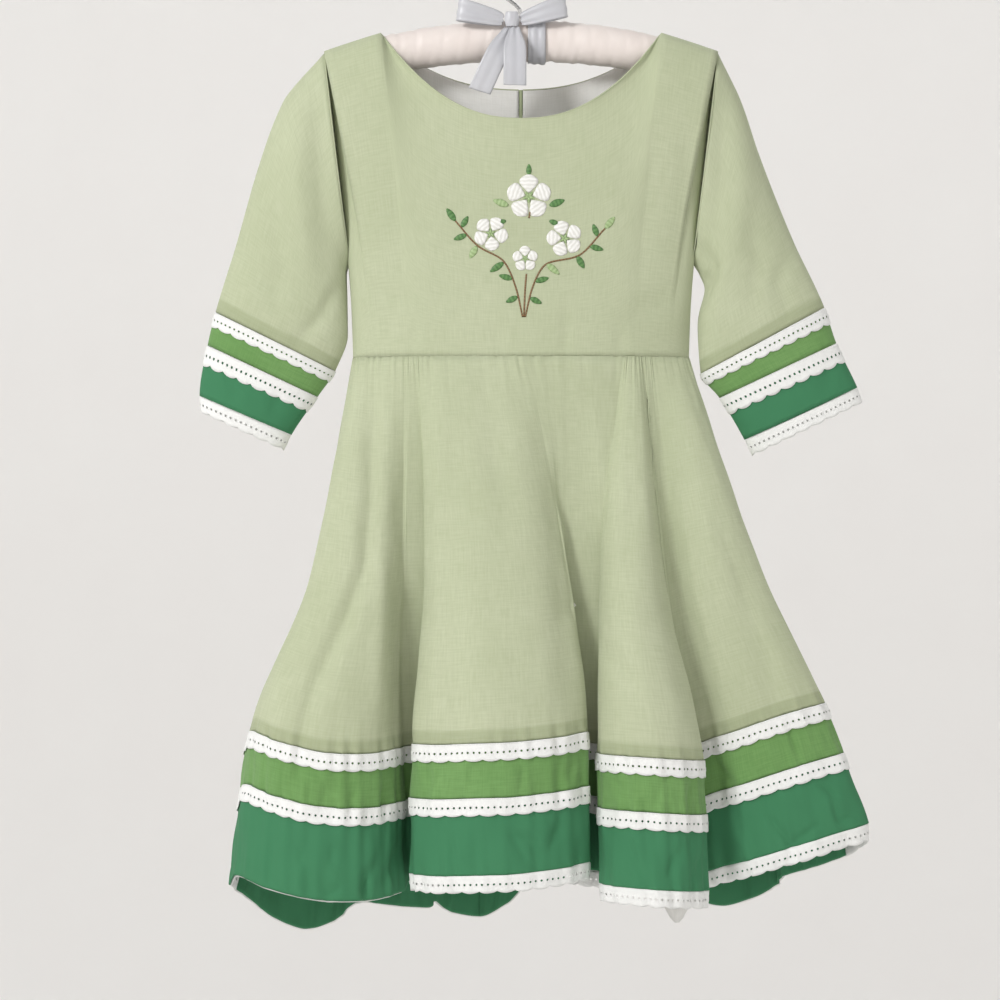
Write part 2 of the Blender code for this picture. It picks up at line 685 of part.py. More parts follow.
def sleeve_pieces():
    """Each sleeve, its two bands and its three rows of lace."""
    for name, table in (("left", LEFT_SLEEVE), ("right", RIGHT_SLEEVE)):
        at = {row.name: row.along for row in table}
        edge = np.array([[row.outer_x, row.outer_z] for row in table])
        gap = SEAM_GAP * 0.75 / np.linalg.norm(np.diff(edge, axis=0), axis=1).sum()
        along = np.linspace(0, at["upper_lace"] - gap, SLEEVE_ROWS + 1)
        tube = sleeve_grid(table, along, SLEEVE_COLUMNS)
        sheet(f"sleeve_{name}", tube, ("sage_cotton", SAGE), CLOTH, True)
        strips = (
            ("upper", at["upper_lace"], at["middle_lace"], ("leaf_cotton", LEAF)),
            ("lower", at["middle_lace"], at["hem_seam"], ("emerald_cotton", EMERALD)),
        )
        for level, start, end, look in strips:
            strip = sleeve_grid(table, np.array([start + gap, end - gap]), SLEEVE_COLUMNS)
            sheet(f"sleeve_band_{level}_{name}", strip, look, CLOTH, True)
            lace = laid_on(strip, SLEEVE_LACE_WIDTH, outward(strip, True) * OVERLAY)
            sheet(f"sleeve_lace_{level}_{name}", lace, ("white_lace", WHITE), LACE, True)
        grid = sleeve_grid(table, np.array([at["hem_seam"] + gap, 1.0]), SLEEVE_COLUMNS)
        sheet(f"sleeve_lace_hem_{name}", grid, ("white_lace", WHITE), LACE, True)


def zip_pieces(skirt):
    """The zip in the centre-back opening, its slider at the neck, and the pull that swings on it."""
    back = bodice_grid(1, CHEST_BACK, WAIST_BACK, [0.0])[:, 0]
    seam = np.array([float(BACK_SEAM)])
    below = skirt.grid(seam, lambda n: n * 0, lambda n: n * 0 + ZIP_BELOW_WAIST, 1)[:, 0]
    line = np.concatenate([back, below[1:]])
    edges = [line + np.array([x, 0, 0]) for x in (-ZIP_WIDTH / 2, ZIP_WIDTH / 2)]
    sheet("zip_chain", np.stack(edges[::-1], axis=1), ("sage_zip", SAGE), CLOTH)
    neck = neck_point(0.0, 1)
    wide, deep, tall = SLIDER
    outer_face = neck[1] + CLOTH / 2 + SEAM_GAP + 0.0004
    middle = (0.0, outer_face + deep / 2, neck[2] - tall / 2)
    slider = solid_box("zip_slider", (wide, deep, tall), middle, ("steel", STEEL, 1.0))
    pin_y = outer_face + deep + PULL_EYE + 0.0014
    pin_z = neck[2] - tall / 2 + 0.0010
    ear_gap = PULL_WIDTH / 2 - 0.0008
    join = []
    for side in (-1, 1):
        ear = solid_box(
            "ear", (0.0010, pin_y - outer_face - deep / 2 + 0.0012, 0.0024),
            (side * (ear_gap + 0.0005), (pin_y + outer_face + deep / 2 + 0.0012) / 2, pin_z),
            ("steel", STEEL, 1.0),
        )
        join.append(ear)
    bpy.ops.mesh.primitive_cylinder_add(
        vertices=12, radius=PULL_PIN, depth=2 * ear_gap + 0.001,
        location=(0, pin_y, pin_z), rotation=(0, math.pi / 2, 0),
    )
    join.append(bpy.context.object)
    for cutter in join:
        boolean(slider, cutter, "UNION")
    pull = pull_tab(ear_gap, pin_y, pin_z)
    return slider, pull


def pull_tab(ear_gap, pin_y, pin_z):
    """A flat tab with an eye round the slider's pin, hanging straight down."""
    half = PULL_WIDTH / 2
    neck_half = ear_gap - SEAM_GAP
    outline = []
    for i in range(9):
        angle = math.pi * i / 8
        outline.append((neck_half * math.cos(angle), 0.0018 * math.sin(angle)))
    for i in range(9):
        angle = math.pi + math.pi * i / 8
        outline.append((half * math.cos(angle), -PULL_LENGTH + half + half * math.sin(angle)))
    curve = bpy.data.curves.new("zip_pull", "CURVE")
    curve.dimensions = "2D"
    curve.fill_mode = "BOTH"
    curve.extrude = PULL_THICK
    spline = curve.splines.new("POLY")
    spline.points.add(len(outline) - 1)
    for point, (x, z) in zip(spline.points, outline):
        point.co = (x, z, 0, 1)
    spline.use_cyclic_u = True
    flat = bpy.data.objects.new("pull_outline", curve)
    bpy.context.scene.collection.objects.link(flat)
    flat.rotation_euler = (math.pi / 2, 0, 0)
    flat.location = (0, pin_y, pin_z)
    pull = to_mesh(flat, "zip_pull")
    pull.data.materials.append(material("steel", STEEL, 1.0))
    bpy.ops.mesh.primitive_cylinder_add(
        vertices=16, radius=PULL_EYE, depth=0.02, location=(0, pin_y, pin_z),
        rotation=(0, math.pi / 2, 0),
    )
    boolean(pull, bpy.context.object, "DIFFERENCE")
    return pull


def to_mesh(obj, name):
    """A mesh object in place of a curve object, with its caps welded, in the dress's collection."""
    bpy.context.view_layer.update()
    graph = bpy.context.evaluated_depsgraph_get()
    mesh = bpy.data.meshes.new_from_object(obj.evaluated_get(graph))
    mesh.name = name
    made = bpy.data.objects.new(name, mesh)
    made.matrix_world = obj.matrix_world
    bpy.data.objects.remove(obj)
    bpy.data.collections["twirl_dress"].objects.link(made)
    weld = made.modifiers.new("weld", "WELD")
    weld.merge_threshold = 0.00001
    return made


def solid_box(name, size, middle, look):
    """A box of that size, with its scale in its points."""
    bpy.ops.mesh.primitive_cube_add(size=1, location=middle)
    box = bpy.context.object
    box.name = name
    box.data.transform(Matrix.Diagonal((*size, 1)))
    box.data.materials.append(material(look[0], look[1], look[2] if len(look) > 2 else 0.0))
    into_dress(box)
    return box


def into_dress(obj):
    """Moves an object into the dress's collection."""
    for collection in list(obj.users_collection):
        collection.objects.unlink(obj)
    bpy.data.collections["twirl_dress"].objects.link(obj)


def boolean(obj, other, operation):
    """Cuts or joins another object, which then stays only as a hidden helper."""
    made = obj.modifiers.new(operation.lower(), "BOOLEAN")
    made.operation = operation
    made.object = other
    other.hide_render = True
    other.display_type = "WIRE"
    for collection in list(other.users_collection):
        collection.objects.unlink(other)
    bpy.data.collections["helpers"].objects.link(other)


def pad():
    """The hanger's padded arm: ovals that follow its bow and close to a round end."""
    stations = np.linspace(-1, 1, 15)
    rings = []
    for station in stations:
        x = PAD_HALF_LENGTH * math.sin(station * math.pi / 2)
        near_end = max(0.0, (abs(x) - PAD_HALF_LENGTH + PAD_END_RADIUS) / PAD_END_RADIUS)
        taper = 1 - 0.2 * (abs(x) / PAD_HALF_LENGTH) ** 4
        radius = PAD_RADIUS * taper * math.sqrt(max(0.012, 1 - near_end**2))
        top = pad_centre_z(x) + PAD_RADIUS
        swing = np.arange(16) / 16 * 2 * math.pi
        centre_z = top - PAD_RADIUS * taper
        ring = np.stack(
            [np.full(16, x), -radius * PAD_FLATTEN * np.sin(swing), centre_z + radius * np.cos(swing)],
            axis=-1,
        )
        rings.append(ring)
    verts = np.array(rings).reshape(-1, 3).tolist()
    faces = [
        (i * 16 + j, i * 16 + (j + 1) % 16, (i + 1) * 16 + (j + 1) % 16, (i + 1) * 16 + j)
        for i in range(len(rings) - 1)
        for j in range(16)
    ]
    faces.append(tuple(reversed(range(16))))
    faces.append(tuple(range(len(verts) - 16, len(verts))))
    mesh = bpy.data.meshes.new("hanger_pad")
    mesh.from_pydata(verts, [], faces)
    mesh.shade_smooth()
    obj = bpy.data.objects.new("hanger_pad", mesh)
    obj.data.materials.append(material("satin", SATIN))
    bpy.data.collections["twirl_dress"].objects.link(obj)
    return obj


def bezier(a, b, c, d, steps):
    """Points along one cubic from a to d."""
    a, b, c, d = (np.array(p, float) for p in (a, b, c, d))
    t = np.linspace(0, 1, steps + 1)[:, None]
    return (1 - t) ** 3 * a + 3 * (1 - t) ** 2 * t * b + 3 * (1 - t) * t**2 * c + t**3 * d


def hook():
    """A wire hook with a collar that sits on the padding."""
    centre_z = HOOK_WIRE - HOOK_BEND
    base_z = pad_centre_z(0) + PAD_RADIUS + SEAM_GAP
    join = math.radians(HOOK_JOIN_DEG)
    start = np.array([HOOK_BEND * math.cos(join), 0, centre_z + HOOK_BEND * math.sin(join)])
    way = np.array([math.sin(join), 0, -math.cos(join)])
    stem_top = np.array([0, 0, base_z + 0.004])
    link = bezier(stem_top, stem_top + [0, 0, 0.008], start - way * 0.008, start, 5)
    angles = np.radians(np.linspace(HOOK_JOIN_DEG, HOOK_TIP_DEG, 20))
    bend = [(HOOK_BEND * math.cos(a), 0, centre_z + HOOK_BEND * math.sin(a)) for a in angles]
    path = [(0, 0, base_z), *map(tuple, link), *bend[1:]]
    curve = bpy.data.curves.new("hanger_hook", "CURVE")
    curve.dimensions = "3D"
    curve.bevel_depth = HOOK_WIRE
    curve.bevel_resolution = 2
    curve.use_fill_caps = True
    spline = curve.splines.new("POLY")
    spline.points.add(len(path) - 1)
    for point, place in zip(spline.points, path):
        point.co = (*place, 1)
    wire = bpy.data.objects.new("hook_wire", curve)
    bpy.context.scene.collection.objects.link(wire)
    obj = to_mesh(wire, "hanger_hook")
    obj.data.materials.append(material("steel", STEEL, 1.0))
    bpy.ops.mesh.primitive_cylinder_add(
        vertices=20, radius=HOOK_COLLAR, depth=0.002, location=(0, 0, base_z + 0.001)
    )
    boolean(obj, bpy.context.object, "UNION")
    return obj


def ribbon(name, line, widths, closed=False):
    """A ribbon along a line of points, with the vector of its half width at each of them."""
    line, widths = np.array(line, float), np.array(widths, float)
    grid = np.stack([line + widths, line, line - widths])
    return sheet(name, grid, ("ribbon_satin", SILVER), RIBBON, closed)


# The ribbon bow tied round the hanger
RIBBON_HALF = 0.0090
KNOT = (-0.0073, -0.0142, -0.0540)
KNOT_SIZE = (0.0120, 0.0090, 0.0120)
LOOP_LENGTH = 0.0360
LOOP_FULLNESS = 0.0040
WRAP_HALF = 0.0070
WRAP_X = 0.0125


def bow():
    """Two loops, two tails, the knot and the turn of ribbon round the padding."""
    knot = solid_box("bow_knot", KNOT_SIZE, KNOT, ("ribbon_satin", SILVER))
    rounding = knot.modifiers.new("round", "BEVEL")
    rounding.width = 0.0025
    rounding.segments = 2
    for name, side, rise in (("left", -1, 0.008), ("right", 1, 0.011)):
        line, widths = [], []
        for i in range(14):
            swing = 2 * math.pi * i / 14
            out = (1 - math.cos(swing)) / 2
            root = KNOT[0] + side * (KNOT_SIZE[0] / 2 + SEAM_GAP + 0.0008)
            x = root + side * LOOP_LENGTH * out
            y = KNOT[1] - LOOP_FULLNESS * math.sin(swing) * side * (0.35 + out)
            line.append((x, y, KNOT[2] + rise * out))
            spread = RIBBON_HALF * (0.45 + 0.55 * math.sqrt(out))
            widths.append((side * -0.15 * spread, 0, spread))
        ribbon(f"bow_loop_{name}", line, widths, True)
    under = KNOT[2] - KNOT_SIZE[2] / 2 - SEAM_GAP * 2
    tails = (
        ("left", (-0.0092, KNOT[1] - 0.0005, under - 0.0006), (-0.0330, -0.0200, -0.112), 0.30),
        ("right", (-0.0050, KNOT[1] - 0.0022, under), (-0.0050, -0.0260, -0.108), 0.03),
    )
    for name, start, end, lean in tails:
        start, end = np.array(start), np.array(end)
        steps = np.linspace(0, 1, 8)[:, None]
        line = start + (end - start) * steps
        line[:, 1] -= 0.006 * np.sin(steps[:, 0] * math.pi)
        spread = RIBBON_HALF * (0.45 + 0.55 * np.minimum(1, steps * 3))
        widths = spread * np.array([math.cos(lean), 0.0, -math.sin(lean)])
        ribbon(f"bow_tail_{name}", line, widths if name == "left" else widths)
    count = 20
    swing = np.arange(count) / count * 2 * math.pi
    clear = (SEAM_GAP * 2 + RIBBON / 2) / math.cos(math.pi / count)
    line = np.stack(
        [
            np.full(count, WRAP_X),
            -(PAD_RADIUS * PAD_FLATTEN + clear) * np.sin(swing),
            pad_centre_z(WRAP_X) + (PAD_RADIUS + clear) * np.cos(swing),
        ],
        axis=-1,
    )
    ribbon("bow_wrap", line, np.tile([WRAP_HALF, 0, -0.0004], (count, 1)), True)


def main():
    clear_scene()
    for name in ("twirl_dress", "helpers"):
        bpy.context.scene.collection.children.link(bpy.data.collections.new(name))
    bpy.data.collections["helpers"].hide_render = True
    skirt = skirt_pieces()
    bodice_pieces()
    sleeve_pieces()
    zip_pieces(skirt)
    pad()
    hook()
    bow()


main()
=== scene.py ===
"""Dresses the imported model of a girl's twirl dress on its padded hanger, and lights it.

Metres, +Z up, the front towards -Y, the origin inside the hook. Each cloth piece is a fine shell on the
form of the solid that it stands for, worked out by the same functions and tables as that solid, with
the creases that the cloth shows laid over it.
"""

from __future__ import annotations

import logging
import math
from collections.abc import Callable, Sequence
from dataclasses import dataclass, field
from enum import Enum
from typing import NamedTuple

import bpy
import numpy as np
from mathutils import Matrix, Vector
from mathutils.bvhtree import BVHTree


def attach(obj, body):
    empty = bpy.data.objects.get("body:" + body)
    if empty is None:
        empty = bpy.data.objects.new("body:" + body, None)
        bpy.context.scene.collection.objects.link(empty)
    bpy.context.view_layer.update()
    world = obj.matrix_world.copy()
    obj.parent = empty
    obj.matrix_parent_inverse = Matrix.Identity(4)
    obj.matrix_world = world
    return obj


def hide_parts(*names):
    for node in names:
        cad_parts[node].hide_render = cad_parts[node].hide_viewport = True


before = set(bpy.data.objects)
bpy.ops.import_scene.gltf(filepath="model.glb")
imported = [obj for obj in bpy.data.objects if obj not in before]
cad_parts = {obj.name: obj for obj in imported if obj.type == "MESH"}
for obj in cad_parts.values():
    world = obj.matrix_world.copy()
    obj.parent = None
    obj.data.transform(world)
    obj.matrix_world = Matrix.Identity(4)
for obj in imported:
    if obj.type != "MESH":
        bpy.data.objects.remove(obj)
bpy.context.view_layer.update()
log = logging.getLogger("twirl_dress")

MM = 0.001
BODY = "dress"
Socket = bpy.types.NodeSocket

# the turned edge that shows through above a lace's seam, and rows 1 mm apart under a lace
SEAM_ALLOWANCE = 0.010
LACE_ROWS = 16

# the wave texture counts 20 radians to its unit
WAVE_UNIT = 20.0

# the seam at the waist, in metres: an oval that is a little deeper in front
WAIST_HALF_WIDTH = 0.134
WAIST_FRONT = 0.036
WAIST_BACK = 0.030
WAIST_Z = -0.3225

# the hanger's padded arm, in metres: its middle falls from the hook to its ends
PAD_TOP = -0.0690
PAD_FALL = 0.0130
PAD_REACH = 0.112
PAD_RADIUS = 0.0170
PAD_FLATTEN = 0.75
PAD_HALF_LENGTH = 0.151


def linear(colour: str) -> tuple[float, float, float, float]:
    """Turns an sRGB hex colour into a linear one.

    Args:
        colour: The colour as six hex digits, such as "c0c5a5".

    Returns:
        Red, green, blue and alpha, linear.
    """
    parts = [int(colour[i : i + 2], 16) / 255 for i in (0, 2, 4)]
    red, green, blue = (p / 12.92 if p <= 0.04045 else ((p + 0.055) / 1.055) ** 2.4 for p in parts)
    return red, green, blue, 1.0


def add_node(
    tree: bpy.types.NodeTree,
    kind: str,
    settings: dict[str | int, object] | None = None,
    links: dict[str | int, Socket] | None = None,
) -> bpy.types.Node:
    """Adds a node with its settings and links.

    Args:
        tree: The node tree that gets the node.
        kind: The node's type, such as "ShaderNodeTexNoise".
        settings: Properties by name, and input values by the name or number of their socket.
        links: Output sockets to link, by the name or number of the input.

    Returns:
        The new node.
    """
    made = tree.nodes.new(kind)
    for name, value in (settings or {}).items():
        if isinstance(name, str) and hasattr(made, name):
            setattr(made, name, value)
        else:
            made.inputs[name].default_value = value
    for name, socket in (links or {}).items():
        tree.links.new(socket, made.inputs[name])
    return made


def new_material(name: str) -> tuple[bpy.types.Material, bpy.types.NodeTree, bpy.types.Node]:
    """Makes a material with only its shader.

    Args:
        name: The material's name.

    Returns:
        The material, its node tree and its Principled shader.
    """
    made = bpy.data.materials.new(name)
    made.use_nodes = True
    return made, made.node_tree, made.node_tree.nodes["Principled BSDF"]


def cloth_map(tree: bpy.types.NodeTree, scale: tuple[float, float, float] | None = None) -> Socket:
    """The place on the cloth in metres, from its UV map, stretched by a scale where one is given."""
    uv = add_node(tree, "ShaderNodeUVMap", {"uv_map": "cloth"}).outputs[0]
    if scale is None:
        return uv
    return add_node(tree, "ShaderNodeMapping", {"Scale": scale}, {"Vector": uv}).outputs[0]


def solid_map(tree: bpy.types.NodeTree) -> Socket:
    """The place in the piece's own space, in metres."""
    return add_node(tree, "ShaderNodeTexCoord").outputs["Object"]


def add_noise(
    tree: bpy.types.NodeTree, where: Socket, scale: float, detail: float = 2.0, roughness: float = 0.5
) -> Socket:
    """Cloudy noise, 0 to 1. The scale is in cycles a metre."""
    settings = {"Scale": scale, "Detail": detail, "Roughness": roughness}
    return add_node(tree, "ShaderNodeTexNoise", settings, {"Vector": where}).outputs["Fac"]


def add_ridges(
    tree: bpy.types.NodeTree, where: Socket, pitch: float, direction: str, distortion: float, detail: float,
    detail_scale: float,
) -> Socket:
    """Uneven ridges, 0 to 1. The pitch is from one to the next, in metres."""
    return add_node(
        tree, "ShaderNodeTexWave",
        {"bands_direction": direction, "Scale": math.tau / pitch / WAVE_UNIT, "Distortion": distortion,
         "Detail": detail, "Detail Scale": detail_scale},
        {"Vector": where},
    ).outputs["Fac"]


def add_range(
    tree: bpy.types.NodeTree, value: Socket, low: float, high: float, start: float = 0.0, end: float = 1.0
) -> Socket:
    """Stretches values from start to end into low to high."""
    settings = {"From Min": start, "From Max": end, "To Min": low, "To Max": high}
    return add_node(tree, "ShaderNodeMapRange", settings, {"Value": value}).outputs[0]


def add_math(tree: bpy.types.NodeTree, operation: str, *values: Socket | float) -> Socket:
    """Works out one value from others, each a socket or a number."""
    settings = {i: value for i, value in enumerate(values) if isinstance(value, float)}
    links = {i: value for i, value in enumerate(values) if not isinstance(value, float)}
    return add_node(tree, "ShaderNodeMath", {"operation": operation, **settings}, links).outputs[0]


def add_mix(tree: bpy.types.NodeTree, share: Socket, one: Socket | str, other: Socket | str) -> Socket:
    """Mixes two colours, each a socket or a hex colour, by the share of the second."""
    settings, links = {"data_type": "RGBA"}, {0: share}
    for number, colour in ((6, one), (7, other)):
        if isinstance(colour, str):
            settings[number] = linear(colour)
        else:
            links[number] = colour
    return add_node(tree, "ShaderNodeMix", settings, links).outputs[2]


def finish_shader(
    tree: bpy.types.NodeTree,
    shader: bpy.types.Node,
    values: dict[str, Socket | float | tuple[float, ...]],
    relief: tuple[Socket, float, float] | None = None,
) -> None:
    """Sets the shader's inputs.

    Args:
        tree: The material's nodes.
        shader: Its shader.
        values: Sockets to link and values to set, by the name of the input.
        relief: The height that raises the surface, its strength and its distance in metres.
    """
    for name, value in values.items():
        if isinstance(value, Socket):
            tree.links.new(value, shader.inputs[name])
        else:
            shader.inputs[name].default_value = value
    if relief:
        height, strength, distance = relief
        bump = add_node(
            tree, "ShaderNodeBump", {"Strength": strength, "Distance": distance}, {"Height": height}
        )
        tree.links.new(bump.outputs[0], shader.inputs["Normal"])


@dataclass(frozen=True)
class PlainWeaveCotton:
    """Cotton lawn, woven one over one: matt, with thin slubs in the yarn and a little uneven dye.

    The threads are 0.25 mm apart, too fine to show, so the weave is only a soft uneven ripple 5.7 mm
    apart. Where the cloth is doubled at a seam, the turned edge shows through as a darker strip.
    """

    name: str
    colour: str
    shade: str
    light: str
    slot: str
    ripple: float = 0.9 * math.tau * MM
    roughness: float = 0.86
    bump: float = 0.10
    see_through: float = 0.0
    doubled: str = "7f8a60"

    def make(self) -> bpy.types.Material:
        """Builds the cotton's nodes."""
        made, tree, shader = new_material(self.name)
        uv = cloth_map(tree)
        cloud = add_noise(tree, solid_map(tree), 11.0, 3.0, 0.55)
        weft = add_noise(tree, cloth_map(tree, (60.0, 900.0, 1.0)), 1.0)
        warp = add_noise(tree, cloth_map(tree, (900.0, 60.0, 1.0)), 1.0)
        yarn = add_math(tree, "ADD", weft, warp)
        # uneven dye first, then the slubs, then the seam allowance behind the cloth
        dyed = add_mix(tree, add_range(tree, cloud, 0.0, 0.75, 0.35, 0.68), self.colour, self.light)
        threaded = add_mix(tree, add_range(tree, yarn, 0.0, 0.45, 0.75, 1.25), dyed, self.shade)
        behind = add_node(tree, "ShaderNodeAttribute", {"attribute_name": "doubled"}).outputs["Fac"]
        strip = add_math(tree, "MULTIPLY", behind, self.see_through)
        ripples = [add_ridges(tree, uv, self.ripple, way, 1.4, 1.0, 2.0) for way in ("X", "Y")]
        weave = add_math(tree, "MAXIMUM", *ripples)
        height = add_math(tree, "MULTIPLY_ADD", weave, 0.6, yarn)
        finish_shader(tree, shader, {
            "Base Color": add_mix(tree, strip, threaded, self.doubled),
            "Roughness": self.roughness,
            "Sheen Weight": 0.12,
            "Sheen Roughness": 0.6,
            "Specular IOR Level": 0.25,
        }, (height, self.bump, 0.6 * MM))
        return made


@dataclass(frozen=True)
class EyeletCotton:
    """Broderie cotton, whitened and machine embroidered: dense stitches that catch the light in grains."""

    name: str
    colour: str
    shade: str
    slot: str

    def make(self) -> bpy.types.Material:
        """Builds the lace's nodes."""
        made, tree, shader = new_material(self.name)
        uv = cloth_map(tree)
        grain = add_node(tree, "ShaderNodeTexVoronoi", {"Scale": 900.0}, {"Vector": uv}).outputs[0]
        finish_shader(tree, shader, {
            "Base Color": add_mix(tree, add_noise(tree, uv, 220.0), self.shade, self.colour),
            "Roughness": 0.8,
            "Sheen Weight": 0.15,
        }, (grain, 0.35, 0.5 * MM))
        return made


@dataclass(frozen=True)
class SatinWeave:
    """Satin, whose long floating threads lie side by side: a soft gloss with fine lines along it."""

    name: str
    colour: str
    shade: str
    slot: str
    roughness: float = 0.42

    def make(self) -> bpy.types.Material:
        """Builds the satin's nodes."""
        made, tree, shader = new_material(self.name)
        lines = add_noise(tree, cloth_map(tree, (40.0, 1600.0, 1.0)), 1.0)
        cloud = add_noise(tree, solid_map(tree), 30.0)
        finish_shader(tree, shader, {
            "Base Color": add_mix(tree, cloud, self.shade, self.colour),
            "Roughness": add_range(tree, lines, self.roughness - 0.08, self.roughness + 0.12),
            "Sheen Weight": 0.2,
        }, (lines, 0.12, 0.3 * MM))
        return made


@dataclass(frozen=True)
class RayonThread:
    """Embroidery thread laid in satin stitch: a row of glossy, uneven ridges 2.8 mm apart, with painted shade
    darkening the grooves between them.
    """

    name: str
    colour: str
    # the darker colour laid into the grooves between the ridges: painted shade
    shade: str
    slot: str
    pitch: float = 0.45 * math.tau * MM

    def make(self) -> bpy.types.Material:
        """Builds the thread's nodes."""
        made, tree, shader = new_material(self.name)
        ridges = add_ridges(tree, cloth_map(tree), self.pitch, "Y", 2.2, 2.0, 3.0)
        finish_shader(tree, shader, {
            # the colour follows the ridges' height and is darker in the grooves: painted shade
            "Base Color": add_mix(tree, ridges, self.shade, self.colour),
            "Roughness": 0.45,
            "Sheen Weight": 0.1,
        }, (ridges, 0.35, 0.4 * MM))
        return made


@dataclass(frozen=True)
class BrightSteel:
    """Drawn steel wire, nickel plated: mirror-like with faint draw marks along it."""

    name: str
    colour: str
    roughness: float

    def make(self) -> bpy.types.Material:
        """Builds the steel's nodes."""
        made, tree, shader = new_material(self.name)
        marks = add_noise(tree, solid_map(tree), 700.0, 3.0)
        finish_shader(tree, shader, {
            "Base Color": linear(self.colour),
            "Metallic": 1.0,
            "Roughness": add_range(tree, marks, self.roughness - 0.04, self.roughness + 0.05),
        }, (marks, 0.02, 0.2 * MM))
        return made


@dataclass(frozen=True)
class NylonCoil:
    """Moulded nylon zip coil in the dress's own colour: smooth, with a low gloss."""

    name: str
    colour: str
    slot: str

    def make(self) -> bpy.types.Material:
        """Builds the nylon's nodes."""
        made, tree, shader = new_material(self.name)
        marks = add_noise(tree, solid_map(tree), 500.0)
        finish_shader(tree, shader, {
            "Base Color": linear(self.colour), "Roughness": add_range(tree, marks, 0.38, 0.52),
        })
        return made


@dataclass(frozen=True)
class StudioPaper:
    """Seamless background paper: pale and quite matt, with the faintest change of tone."""

    name: str
    colour: str
    light: str

    def make(self) -> bpy.types.Material:
        """Builds the paper's nodes."""
        made, tree, shader = new_material(self.name)
        grain = add_noise(tree, solid_map(tree), 4.0)
        finish_shader(tree, shader, {
            "Base Color": add_mix(tree, grain, self.colour, self.light), "Roughness": 0.95,
        })
        return made


class Finish(Enum):
    """The finishes of this dress and its hanger."""

    SAGE = PlainWeaveCotton("sage_cotton_lawn", "b8bfa0", "a6ae8b", "c2c8ab", "sage_cotton", see_through=0.35)
    LEAF = PlainWeaveCotton("leaf_green_cotton", "6c9656", "5a8446", "79a162", "leaf_cotton")
    EMERALD = PlainWeaveCotton("emerald_cotton", "3b8153", "2e6f45", "478f61", "emerald_cotton")
    LINING = PlainWeaveCotton("white_cotton_lining", "edece8", "e2e1dc", "f3f2ef", "lining")
    LACE = EyeletCotton("white_eyelet_lace", "f2f2f0", "e2e3e1", "lace")
    PADDING = SatinWeave("ivory_padding_satin", "efe7e2", "e2d6d0", "padding_satin")
    RIBBON = SatinWeave("silver_grey_ribbon", "cfcfd3", "b4b5bb", "ribbon", 0.34)
    # each thread's second colour is painted shade, laid into the grooves between its stitch ridges
    WHITE_THREAD = RayonThread("white_embroidery_thread", "f4f3f0", "dddcd6", "lace")
    GREEN_THREAD = RayonThread("green_embroidery_thread", "5f8a4e", "46703a", "leaf_cotton")
    PALE_THREAD = RayonThread("pale_green_embroidery_thread", "a9bf8c", "8fa873", "sage_cotton")
    BROWN_THREAD = RayonThread(
        "brown_embroidery_thread", "8a6a45", "6c5133", "sage_cotton", 0.35 * math.tau * MM
    )
    STEEL = BrightSteel("nickel_plated_steel", "c9c9c9", 0.26)
    COIL = NylonCoil("sage_nylon_coil", "a9b48e", "zip_chain")
    PAPER = StudioPaper("pale_studio_paper", "eeecea", "f0efed")

    def material(self) -> bpy.types.Material:
        """The finish's material, made once."""
        return bpy.data.materials.get(self.value.name) or self.value.make()


def add_piece(name: str, data: bpy.types.ID, finish: Finish) -> bpy.types.Object:
    """Puts a mesh or a curve in the scene as a piece that rides on the dress.

    Args:
        name: The piece's name.
        data: Its mesh or curve.
        finish: What it is made of.

    Returns:
        The piece.
    """
    obj = bpy.data.objects.new(name, data)
    bpy.context.scene.collection.objects.link(obj)
    data.materials.append(finish.material())
    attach(obj, BODY)
    return obj


def add_wall(obj: bpy.types.Object, thickness: float, offset: float = 0.0) -> None:
    """Gives an open surface its thickness, in metres: half to each side, or all to one at -1."""
    wall = obj.modifiers.new("wall", "SOLIDIFY")
    wall.thickness = thickness
    wall.offset = offset


def new_mesh(
    name: str, points: np.ndarray, faces: Sequence[tuple[int, ...]], corners: np.ndarray | None = None
) -> bpy.types.Mesh:
    """Makes a smooth mesh.

    Args:
        name: The mesh's name.
        points: Its points.
        faces: Its faces.
        corners: The cloth's own lengths at each face's corners, for its UV map.

    Returns:
        The mesh.
    """
    mesh = bpy.data.meshes.new(name)
    mesh.from_pydata(np.asarray(points).reshape(-1, 3).tolist(), [], faces)
    mesh.shade_smooth()
    if corners is not None:
        mesh.uv_layers.new(name="cloth").data.foreach_set("uv", np.asarray(corners, float).reshape(-1))
    return mesh


def grid_faces(rows: int, columns: int, closed: bool, flip: bool = False) -> list[tuple[int, ...]]:
    """The faces of a grid of points.

    Args:
        rows: How many rows of points.
        columns: How many points to a row.
        closed: Whether the last column meets the first.
        flip: Whether the faces look the other way.

    Returns:
        Four point numbers to a face, row by row.
    """
    faces = []
    for i in range(rows - 1):
        a, b = i * columns, (i + 1) * columns
        for j in range(columns if closed else columns - 1):
            k = (j + 1) % columns
            faces.append((a + j, a + k, b + k, b + j) if flip else (a + j, b + j, b + k, a + k))
    return faces


def pad_height(x: float | np.ndarray) -> float | np.ndarray:
    """Height of the middle of the hanger's padded arm at x."""
    return PAD_TOP - PAD_FALL * (abs(x) / PAD_REACH) ** 2.2


def pad_taper(x: float | np.ndarray) -> float | np.ndarray:
    """How thick the padded arm is at x, as a share of its middle."""
    return 1 - 0.2 * (np.minimum(abs(x), PAD_HALF_LENGTH) / PAD_HALF_LENGTH) ** 4


def reach_along(line: np.ndarray) -> np.ndarray:
    """The length along a line at each of its points."""
    return np.concatenate([[0.0], np.cumsum(np.linalg.norm(np.diff(line, axis=0), axis=-1))])


